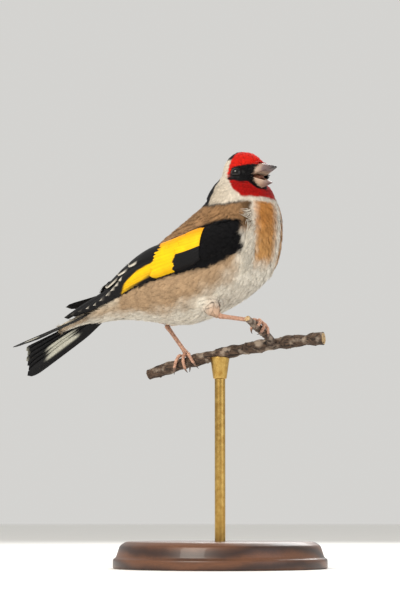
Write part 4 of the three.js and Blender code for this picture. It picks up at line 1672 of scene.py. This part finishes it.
@dataclass
class Mandible:
    """Half of the bill, with a ridge along its outer line and a hollow inner face.

    Attributes:
        name: The CAD node it stands for.
        length: From the base ring to the point.
        width: Half-width at the base.
        outer: Depth of the ridge side at the base.
        inner: Depth of the biting edge beyond the base line.
        pitch: The angle that it opens by.
        above: Whether it is the upper one.
    """

    name: str
    length: float
    width: float
    outer: float
    inner: float
    pitch: float
    above: bool
    rings: int = 40

    def build(self, finishes: Finishes) -> bpy.types.Object:
        """Sweeps the cross-section to the point."""
        taper = through([[1], [0.9], [0.7], [0.42], [0.1]], self.rings)[:, 0]
        x = np.linspace(0, self.length, self.rings)
        outer_count, inner_count = 27, 9
        outside = np.linspace(0, np.pi, outer_count)
        ridge = 0.07 * np.exp(-(((outside - np.pi / 2) / 0.12) ** 2))
        out_y = np.cos(outside)
        out_z = np.sin(outside) ** 0.92 * (1 + ridge)
        inside = np.linspace(-0.9, 0.9, inner_count)
        in_z = -0.75 * (1 - (np.abs(inside) / 0.9) ** 2.5)
        y = np.r_[out_y, inside]
        outer = np.r_[out_z, np.zeros(inner_count)]
        inner = np.r_[np.zeros(outer_count), in_z]
        sag = 0.25 * np.sin(np.pi * x / self.length)
        z = outer[None] * (self.outer * taper)[:, None] - (1 + inner[None]) * (self.inner * taper)[:, None]
        z = z + np.where(outer > 0.01, sag[:, None] * 0.8, sag[:, None] * 0.2)
        if not self.above:
            z = -z
        points = np.stack(np.broadcast_arrays(x[:, None], y[None] * (self.width * taper)[:, None], z), -1)
        tip = points[-1].mean(0) + [0.3, 0, 0]
        around = points.shape[1]
        rows = np.concatenate([points, np.broadcast_to(tip, (1, around, 3))])
        base = np.broadcast_to(points[0].mean(0) + [-0.2, 0, 0], (1, around, 3))
        rows = np.concatenate([base, rows])
        turned = HEAD @ shift(6.4, 0, -1) @ turn("y", -self.pitch)
        faces = sheet_faces(len(rows), around, True)
        made = make_mesh(f"{self.name}_horn", place(turned, rows).reshape(-1, 3), faces, finishes.horn)
        along = np.repeat(np.r_[0, np.linspace(0, 1, self.rings), 1], around)
        add_numbers(made.data, "along", along * (1.0 if self.above else 0.72))
        mend(made.data)
        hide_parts(self.name)
        return made


@dataclass
class Mouth:
    """The brown lining and tongue that show between the mandibles, and the nostrils."""

    length: float = 8.6

    def build(self, finishes: Finishes) -> list[bpy.types.Object]:
        """Makes the tongue with the gape's lining behind it, and two nostril pits."""
        t = np.linspace(0, 1, 16)
        tongue = np.stack([6.2 + self.length * t, 0 * t, -1.9 - 0.8 * t - 0.5 * np.sin(np.pi * t)], -1)
        lining = np.stack([4 + 8.4 * t, 0 * t, -1.1 - 0.7 * t], -1)
        parts = [
            tube(place(HEAD, tongue), 1.25 * (1 - t**2 * 0.8), 16, 0.4),
            tube(place(HEAD, lining), 3.2 * (1 - 0.68 * t**1.6), 20, 0.7),
        ]
        points, faces = joined(parts)
        mouth = make_mesh("mouth_lining", points, faces, finishes.mouth, tidy=True)
        pits = []
        for side in Side:
            a = np.linspace(0, 1, 8)
            pit = np.stack([9.6 + 1.0 * a, side.value * (2.35 - 0.25 * a), 1.25 + 0.1 * a], -1)
            pits.append(tube(place(HEAD, pit), 0.26 + 0.16 * np.sin(np.pi * a), 12, 0.8))
        points, faces = joined(pits)
        nostrils = make_mesh("nostrils", points, faces, finishes.lid, tidy=True)
        return [mouth, nostrils]


# Legs


@dataclass
class Grip:
    """What one foot holds: the axis, centre and radius of the wood under it."""

    axis: Array
    centre: Array
    radius: float


@dataclass
class Leg:
    """A bare shank with its scales, four toes wrapped round the wood, and their claws.

    Attributes:
        grip: What its foot holds.
        gap: Between the wood and a toe's skin.
        begin: Where the toes leave the top of the wood, in degrees round it.
        claw_wrap: How much further the claws reach, in degrees.
        toes: For each toe its start and drift along the wood, how far it wraps, and which way.
    """

    side: Side
    grip: Grip
    toe_radius: float = 0.62
    shank_radius: float = 0.85
    claw_radius: float = 0.42
    gap: float = 0.3
    begin: float = 22.0
    claw_wrap: float = 46.0
    toes: tuple = (
        ("inner", -1.65, -2.2, 84, 1), ("middle", 0.0, 0.2, 108, 1), ("outer", 1.65, 2.4, 88, 1),
        ("hind", 0.2, 0.2, 80, -1),
    )

    def path(self, toe: tuple, share: Array, lift: Array) -> Array:
        """Places along a toe, at shares of its wrap, lifted a little at the knuckles."""
        _, start, drift, wrap, ahead_sign = toe
        axis = self.grip.axis
        ahead = unit(np.cross(axis, [0, 0, 1.0]))
        if ahead @ (BIRD[:3, :3] @ np.array([1.0, 0, 0])) < 0:
            ahead = -ahead
        up = unit(np.cross(axis, ahead))
        if up[2] < 0:
            up = -up
        angle = np.radians(self.begin + wrap * share) * ahead_sign
        reach = self.grip.radius + self.gap + self.toe_radius + lift
        return (
            self.grip.centre + axis * (start + drift * share)[:, None] + up * (np.cos(angle) * reach)[:, None]
            + ahead * (np.sin(angle) * reach)[:, None]
        )

    def build(self, finishes: Finishes) -> list[bpy.types.Object]:
        """Makes the flesh, the scales over it and the claws."""
        word = self.side.word
        heel, foot = place(BIRD, np.array([HEELS[self.side], FEET[self.side]], float))
        t = np.linspace(0.02, 0.95, 26)[:, None]
        shank = heel + (foot - heel) * t
        foot_end, heel_end = ramp(t[:, 0], 0.75, 0.97), ramp(t[:, 0], 0.25, 0.0)
        thickness = self.shank_radius * (0.92 + 0.28 * foot_end + 0.25 * heel_end)
        parts = [tube(shank, thickness, 14, 1.0)]
        runs = [(shank, thickness)]
        claws = []
        shares = np.linspace(0, 1, 40)
        knuckles = np.abs(np.sin(np.pi * 2.5 * shares))
        claw_rows, claw_sides = 24, 12
        along = np.linspace(0, 1, claw_rows)
        for toe in self.toes:
            path = self.path(toe, shares, 0.12 * knuckles)
            radius = self.toe_radius * (1.06 - 0.2 * shares) * (0.93 + 0.1 * knuckles)
            parts.append(tube(path, radius, 14, 1.0, 0.9))
            runs.append((path, radius))
            claw_share = np.linspace(1.0, 1 + self.claw_wrap / toe[3], claw_rows)
            curve = self.path(toe, claw_share, 0.1 + (claw_share - 1) * 1.1)
            claws.append(tube(curve, self.claw_radius * (1.15 - along * 1.02), claw_sides, 1.0, 0.8))
        points, faces = joined(parts)
        flesh = make_mesh(f"leg_{word}", points, faces, finishes.leg, tidy=True)
        nodes = [f"shank_{word}"] + [f"toe_{toe[0]}_{word}" for toe in self.toes]
        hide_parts(*nodes)
        scales = ring_scales(f"leg_scutes_{word}", runs, finishes.leg)
        points, faces = joined(claws)
        horn = make_mesh(f"claws_{word}", points, faces, finishes.claw)
        one = np.repeat(np.r_[0, 0, 0, along, 1, 1, 1], claw_sides)
        add_numbers(horn.data, "along", np.tile(one, len(claws)))
        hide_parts(*[f"claw_{toe[0]}_{word}" for toe in self.toes])
        return [flesh, scales, horn]


class Growth:
    """A Geometry Nodes tree with named inputs, whose result is kept as a plain mesh."""

    def __init__(self, name: str, inputs: dict[str, tuple[str, Any]]) -> None:
        """Starts the tree.

        Args:
            name: The tree's name.
            inputs: For each named input its socket type and value.
        """
        self.tree = bpy.data.node_groups.new(name, "GeometryNodeTree")
        sockets = self.tree.interface
        sockets.new_socket("Geometry", in_out="INPUT", socket_type="NodeSocketGeometry")
        sockets.new_socket("Geometry", in_out="OUTPUT", socket_type="NodeSocketGeometry")
        self.values = {}
        for label, (kind, value) in inputs.items():
            socket = sockets.new_socket(label, in_out="INPUT", socket_type=kind)
            self.values[socket.identifier] = value
        self.given = self.tree.nodes.new("NodeGroupInput").outputs
        self.sink = self.tree.nodes.new("NodeGroupOutput")

    def grow(self, thing: bpy.types.Object, placed: Any) -> bpy.types.Object:
        """Ends the tree in real geometry with its finish, and runs it on an object.

        Args:
            thing: The object that the tree reads.
            placed: The node that gives the instances.

        Returns:
            The same object with the result as its mesh.
        """
        real = add_node(self.tree, "GeometryNodeRealizeInstances", Geometry=placed.outputs[0])
        dressed = add_node(
            self.tree, "GeometryNodeSetMaterial", Geometry=real.outputs[0], Material=self.given["Finish"]
        )
        self.tree.links.new(dressed.outputs[0], self.sink.inputs[0])
        nodes = thing.modifiers.new(self.tree.name, "NODES")
        nodes.node_group = self.tree
        for identifier, value in self.values.items():
            nodes[identifier] = value
        made = settle(thing)
        shade_smooth(made.data)
        return made


def ring_scales(name: str, runs: list[tuple[Array, Array]], finish: bpy.types.Material) -> bpy.types.Object:
    """Overlapping ring scales along shank and toes, by Geometry Nodes.

    Args:
        name: The piece's name.
        runs: Paths with their radii.
        finish: The material.

    Returns:
        One plain mesh.
    """
    mesh = bpy.data.meshes.new(name)
    points = np.vstack([run[0] for run in runs])
    edges, start = [], 0
    for path, _ in runs:
        edges += [(start + i, start + i + 1) for i in range(len(path) - 1)]
        start += len(path)
    mesh.from_pydata((points * MM).tolist(), edges, [])
    add_numbers(mesh, "thickness", np.concatenate([run[1] for run in runs]).astype(np.float32) * MM)
    growth = Growth(
        "leg_scutes",
        {"Spacing": ("NodeSocketFloat", 0.52 * MM), "Relief": ("NodeSocketFloat", 0.1),
         "Finish": ("NodeSocketMaterial", finish)},
    )
    tree, given = growth.tree, growth.given
    curve = add_node(tree, "GeometryNodeMeshToCurve", Mesh=given["Geometry"])
    even = add_node(
        tree, "GeometryNodeResampleCurve", {"mode": "LENGTH"}, Curve=curve.outputs[0], Length=given["Spacing"]
    )
    ring = add_node(tree, "GeometryNodeCurvePrimitiveCircle", Resolution=12, Radius=1.0)
    lip = add_node(tree, "GeometryNodeCurvePrimitiveCircle", Resolution=5, Radius=given["Relief"])
    band = add_node(tree, "GeometryNodeCurveToMesh", Curve=ring.outputs[0], Profile_Curve=lip.outputs[0])
    way = add_node(tree, "GeometryNodeInputTangent")
    facing = add_node(tree, "FunctionNodeAlignRotationToVector", {"axis": "Z"}, Vector=way.outputs[0])
    size = add_node(tree, "GeometryNodeInputNamedAttribute", {"data_type": "FLOAT"}, Name="thickness")
    placed = add_node(
        tree, "GeometryNodeInstanceOnPoints", Points=even.outputs[0], Instance=band.outputs[0],
        Rotation=facing.outputs[0], Scale=size.outputs["Attribute"],
    )
    return growth.grow(new_object(name, mesh), placed)


# Perch


@dataclass
class Perch:
    """The cut length of branch and its side twig, knobbly, with bark warts and pale cut ends.

    Attributes:
        radius: Of the branch.
        reach: Its two ends along X, from the rod.
        height: Of its axis over the rod.
        slope: The way it runs.
        bend: How it droops away from the rod.
        twig_radius: Of the side twig.
        twig_way: The way the twig runs.
        toe_gap: From the twig's bark to the near foot's joint.
        wart_size: Of the bark's small warts.
        wart_density: How many warts grow on a square metre.
    """

    radius: float = 2.2
    reach: tuple = (-27.0, 38.0)
    height: float = 80.0
    slope: tuple = (1.0, -0.42, 0.2)
    bend: float = -0.0021
    twig_radius: float = 1.45
    twig_way: tuple = (-0.47, -0.82, 0.3)
    toe_gap: float = 0.92
    wart_size: float = 0.32
    wart_density: float = 2.2e5

    def at(self, x: Array) -> Array:
        """Places on the branch's axis."""
        x = np.asarray(x, float)
        return np.stack([x, self.slope[1] * x, self.height + self.slope[2] * x + self.bend * x * x], -1)

    def crown(self) -> Array:
        """The twig's axis under the near foot."""
        return place(BIRD, np.array(FEET[Side.RIGHT], float)) - [0, 0, self.twig_radius + self.toe_gap]

    def grip(self, side: Side) -> Grip:
        """What a foot holds."""
        if side is Side.RIGHT:
            return Grip(unit(np.array(self.twig_way)), self.crown(), self.twig_radius)
        foot = place(BIRD, np.array(FEET[Side.LEFT], float))
        return Grip(-unit(np.array(self.slope)), self.at(foot[0]), self.radius * 1.06)

    def roughen(self, points: Array, centres: Array, depth: float) -> Array:
        """Moves a tube's points in and out, as bark that has cracked along its length."""
        out = unit(points - centres)
        stretched = points * [0.3, 1, 1]
        amount = wobble(stretched, 2.2) * 0.6 + wobble(points, 1.1) * 0.25 + wobble(points, 6) * 0.5
        return points + out * (amount * depth)[:, None]

    def length_of(
        self, name: str, centres: Array, radii: Array, sides: int, depth: float, finishes: Finishes
    ) -> bpy.types.Object:
        """Makes one length of wood along its axis, with bark that is as rough as depth."""
        points, faces = tube(centres, radii, sides, 1.0, 0.06)
        axis = np.repeat(np.vstack([[centres[0]] * 3, centres, [centres[-1]] * 3]), sides, axis=0)
        return make_mesh(name, self.roughen(points, axis, depth), faces, finishes.bark, tidy=True)

    def build(self, finishes: Finishes) -> list[bpy.types.Object]:
        """Makes both lengths of wood, their warts and their cut ends."""
        x = np.linspace(*self.reach, 220)
        radii = self.radius * (1 + 0.1 * np.sin(x * 0.55) + 0.06 * np.sin(x * 1.3 + 1))
        centres = self.at(x)
        wood = self.length_of("branch", centres, radii, 40, 0.16, finishes)
        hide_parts("perch")
        root = self.at(20.5) + [-1.6, -1.4, 0.4]
        crown = self.crown()
        way = unit(np.array(self.twig_way))
        bent = root + (crown - root) * 0.45 + [1.2, 0, -0.5]
        run = through([root, bent, crown, crown + way * 8.5], 90)
        sizes = through([[1.2], [1], [1], [0.82]], 90)[:, 0] * self.twig_radius
        twig = self.length_of("side_twig", run, sizes, 28, 0.1, finishes)
        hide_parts("perch_twig")
        warts = self.warts(wood, twig, finishes)
        ends = []
        for centre, before, radius in (
            (centres[0], centres[1], radii[0]), (centres[-1], centres[-2], radii[-1]),
            (run[-1], run[-2], sizes[-1]),
        ):
            out = unit(centre - before)
            line = np.array([centre - out * 0.3, centre + out * 0.16])
            ends.append(tube(line, np.full(2, radius * 0.86), 28, 1.0, 0.05))
        points, faces = joined(ends)
        cuts = make_mesh("cut_ends", points, faces, finishes.cut, tidy=True)
        return [wood, twig, warts, cuts]

    def warts(self, wood: bpy.types.Object, twig: bpy.types.Object, finishes: Finishes) -> bpy.types.Object:
        """Strews small flat warts over the bark, by Geometry Nodes."""
        both = bmesh.new()
        both.from_mesh(wood.data)
        both.from_mesh(twig.data)
        mesh = bpy.data.meshes.new("bark_warts")
        both.to_mesh(mesh)
        both.free()
        growth = Growth(
            "bark_warts",
            {"Density": ("NodeSocketFloat", self.wart_density),
             "Size": ("NodeSocketFloat", self.wart_size * MM),
             "Seed": ("NodeSocketInt", SEED), "Finish": ("NodeSocketMaterial", finishes.bark)},
        )
        tree, given = growth.tree, growth.given
        spots = add_node(
            tree, "GeometryNodeDistributePointsOnFaces", Mesh=given["Geometry"], Density=given["Density"],
            Seed=given["Seed"],
        )
        wart = add_node(tree, "GeometryNodeMeshIcoSphere", Radius=1.0, Subdivisions=2)
        size = add_node(
            tree, "FunctionNodeRandomValue", {"data_type": "FLOAT"}, i2=0.5, i3=1.5, Seed=given["Seed"]
        )
        real_size = add_node(
            tree, "ShaderNodeMath", {"operation": "MULTIPLY"}, i0=size.outputs[1], i1=given["Size"]
        )
        flat, grown = (1.5, 0.9, 0.55), real_size.outputs[0]
        shape = add_node(tree, "ShaderNodeVectorMath", {"operation": "SCALE"}, i0=flat, Scale=grown)
        placed = add_node(
            tree, "GeometryNodeInstanceOnPoints", Points=spots.outputs["Points"], Instance=wart.outputs[0],
            Rotation=spots.outputs["Rotation"], Scale=shape.outputs[0],
        )
        return growth.grow(new_object("bark_warts", mesh), placed)


# Stand


@dataclass
class Stand:
    """A turned round base, a brass rod and the ferrule that cups the branch.

    Attributes:
        radius: Of the base.
        height: Of the base.
        rod: Radius of the rod.
        ferrule: Largest radius of the ferrule.
        top: Of the rod's line, just inside the branch's underside.
    """

    radius: float = 40.0
    height: float = 10.0
    rod: float = 2.0
    ferrule: float = 3.6
    top: float = 75.786

    def lathe(
        self, name: str, node: str, profile: list, finish: bpy.types.Material
    ) -> bpy.types.Object:
        """Turns a profile of radius and height about the rod's line, in place of a CAD node."""
        rows = np.array(profile, float)
        out, high, sides = rows[:, :1], rows[:, 1:], 128
        angle = np.linspace(0, 2 * np.pi, sides, endpoint=False)
        points = np.stack([out * np.cos(angle), out * np.sin(angle), np.repeat(high, sides, axis=1)], -1)
        made = make_mesh(name, points.reshape(-1, 3), sheet_faces(len(rows), sides, True), finish, tidy=True)
        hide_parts(node)
        return made

    def rounded(self, corners: list, radius: float) -> list:
        """A profile with its corners eased by a small radius."""
        out = [corners[0]]
        for before, corner, after in zip(corners, corners[1:], corners[2:]):
            b, c, a = (np.array(p, float) for p in (before, corner, after))
            cut = min(radius, np.linalg.norm(b - c) * 0.45, np.linalg.norm(a - c) * 0.45)
            p, q = c + unit(b - c) * cut, c + unit(a - c) * cut
            for t in np.linspace(0, 1, 6):
                out.append(tuple(p * (1 - t) ** 2 + 2 * c * t * (1 - t) + q * t**2))
        return out + [corners[-1]]

    def build(self, finishes: Finishes) -> list[bpy.types.Object]:
        """Turns the three parts."""
        r, h = self.radius, self.height
        base = [
            (0, 0), (r, 0), (r, h * 0.35), (r - 1.2, h * 0.42), (r - 1.6, h * 0.55), (r - 2.6, h * 0.85),
            (r - 5, h), (0, h),
        ]
        wood = self.lathe("walnut_base", "stand_base", self.rounded(base, 0.8), finishes.walnut)
        shoulder = self.top - 5
        rod = [(0, h - 0.5), (self.rod, h - 0.5), (self.rod, shoulder), (0, shoulder)]
        rod_piece = self.lathe("brass_rod", "stand_rod", self.rounded(rod, 0.2), finishes.brass)
        cup = [
            (0, shoulder - 0.1), (self.rod + 0.5, shoulder - 0.1), (self.rod + 0.9, self.top - 2.5),
            (self.ferrule, self.top + 2.6), (self.ferrule, self.top + 3.0), (0, self.top + 3.0),
        ]
        cup = self.rounded(cup, 0.3)
        cup_piece = self.lathe("brass_ferrule", "stand_ferrule", cup, finishes.brass)
        return [wood, rod_piece, cup_piece]


# Studio


@dataclass
class Studio:
    """Camera, soft lights and a plain pale floor.

    Attributes:
        target: What the camera looks at.
        distance: From the target.
        rise: How far it looks up, in degrees.
        lens: Focal length in millimetres, for a 36 mm sensor along the frame's long side.
    """

    target: tuple = (-7.5, -4.8, 100.0)
    distance: float = 780.0
    rise: float = 6.0
    lens: float = 124.8

    def build(self, finishes: Finishes) -> None:
        """Places everything round the model."""
        e = np.radians(self.rise)
        look = np.array([0, np.cos(e), np.sin(e)])
        camera = new_object("camera", bpy.data.cameras.new("camera"))
        camera.data.lens = self.lens
        camera.data.sensor_width = 36
        camera.data.clip_start = 0.01
        camera.location = (np.array(self.target) - look * self.distance) * MM
        camera.rotation_euler = (np.pi / 2 + e, 0, 0)
        bpy.context.scene.camera = camera
        sides = 96
        angle = np.linspace(0, 2 * np.pi, sides, endpoint=False)
        rings = np.array([0.001, 300, 1200, 6000])[:, None]
        points = np.stack([rings * np.cos(angle), rings * np.sin(angle), np.zeros((len(rings), sides))], -1)
        faces = sheet_faces(len(rings), sides, True)[:, ::-1]
        floor = make_mesh("floor", points.reshape(-1, 3), faces, finishes.floor)
        for name, spot, power, size, tint in (
            ("key", (-420, -620, 620), 6.5, 420, "#FFF6EA"), ("fill", (620, -480, 260), 1.2, 600, "#EEF3FF"),
            ("rim", (150, 620, 520), 4.0, 420, "#FFFFFF"),
        ):
            light = bpy.data.lights.new(name, "AREA")
            light.energy = power
            light.size = size * MM
            light.color = tuple(linear(tint))
            lamp = new_object(name, light)
            lamp.location = np.array(spot) * MM
            aim = unit(np.array([0, 0, 110.0]) - np.array(spot))
            lamp.rotation_euler = (np.arccos(-aim[2]), 0, np.arctan2(aim[1], aim[0]) - np.pi / 2)
        world = bpy.data.worlds.new("studio")
        world.use_nodes = True
        sky = world.node_tree.nodes["Background"]
        sky.inputs["Color"].default_value = rgba("#E4E3E0")
        sky.inputs["Strength"].default_value = 0.85
        bpy.context.scene.world = world
        bpy.context.scene.view_settings.view_transform = "Standard"


def main() -> None:
    """Builds the model in order and reports each piece."""
    logging.basicConfig(level=logging.INFO, format="%(message)s")
    finishes = Finishes()
    Studio().build(finishes)
    trunk = Trunk()
    wings = {side: Wing(side) for side in Side}
    markings = Markings(trunk, wings)
    eyes = [Eye(side) for side in Side]
    skin = Skin(trunk, markings, eyes)
    body = skin.build(finishes)
    pieces = [body]
    for eye in eyes:
        for made in eye.build(finishes):
            pieces.append(made)
    pieces += Coat(skin, markings, eyes).build(finishes)
    pieces += Hairs(skin, markings).build(finishes)
    for side in Side:
        pieces.append(WingFeathers(wings[side]).build(finishes))
        pieces.append(TailFeathers(side).build(finishes))
    upper = Mandible("bill_upper", length=14.6, width=3.9, outer=4.6, inner=0.2, pitch=7, above=True)
    lower = Mandible("bill_lower", length=12.4, width=3.6, outer=4.6, inner=0.6, pitch=-16, above=False)
    pieces += [upper.build(finishes), lower.build(finishes)]
    pieces += Mouth().build(finishes)
    perch = Perch()
    for side in Side:
        pieces += Leg(side, perch.grip(side)).build(finishes)
    pieces += perch.build(finishes)
    pieces += Stand().build(finishes)
    total = 0
    for piece in pieces:
        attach(piece, "root")
        count = sum(len(face.vertices) - 2 for face in piece.data.polygons)
        total += count
        log.info("%s: %d triangles", piece.name, count)
    log.info("all pieces: %d triangles", total)


if __name__ == "__main__":
    main()
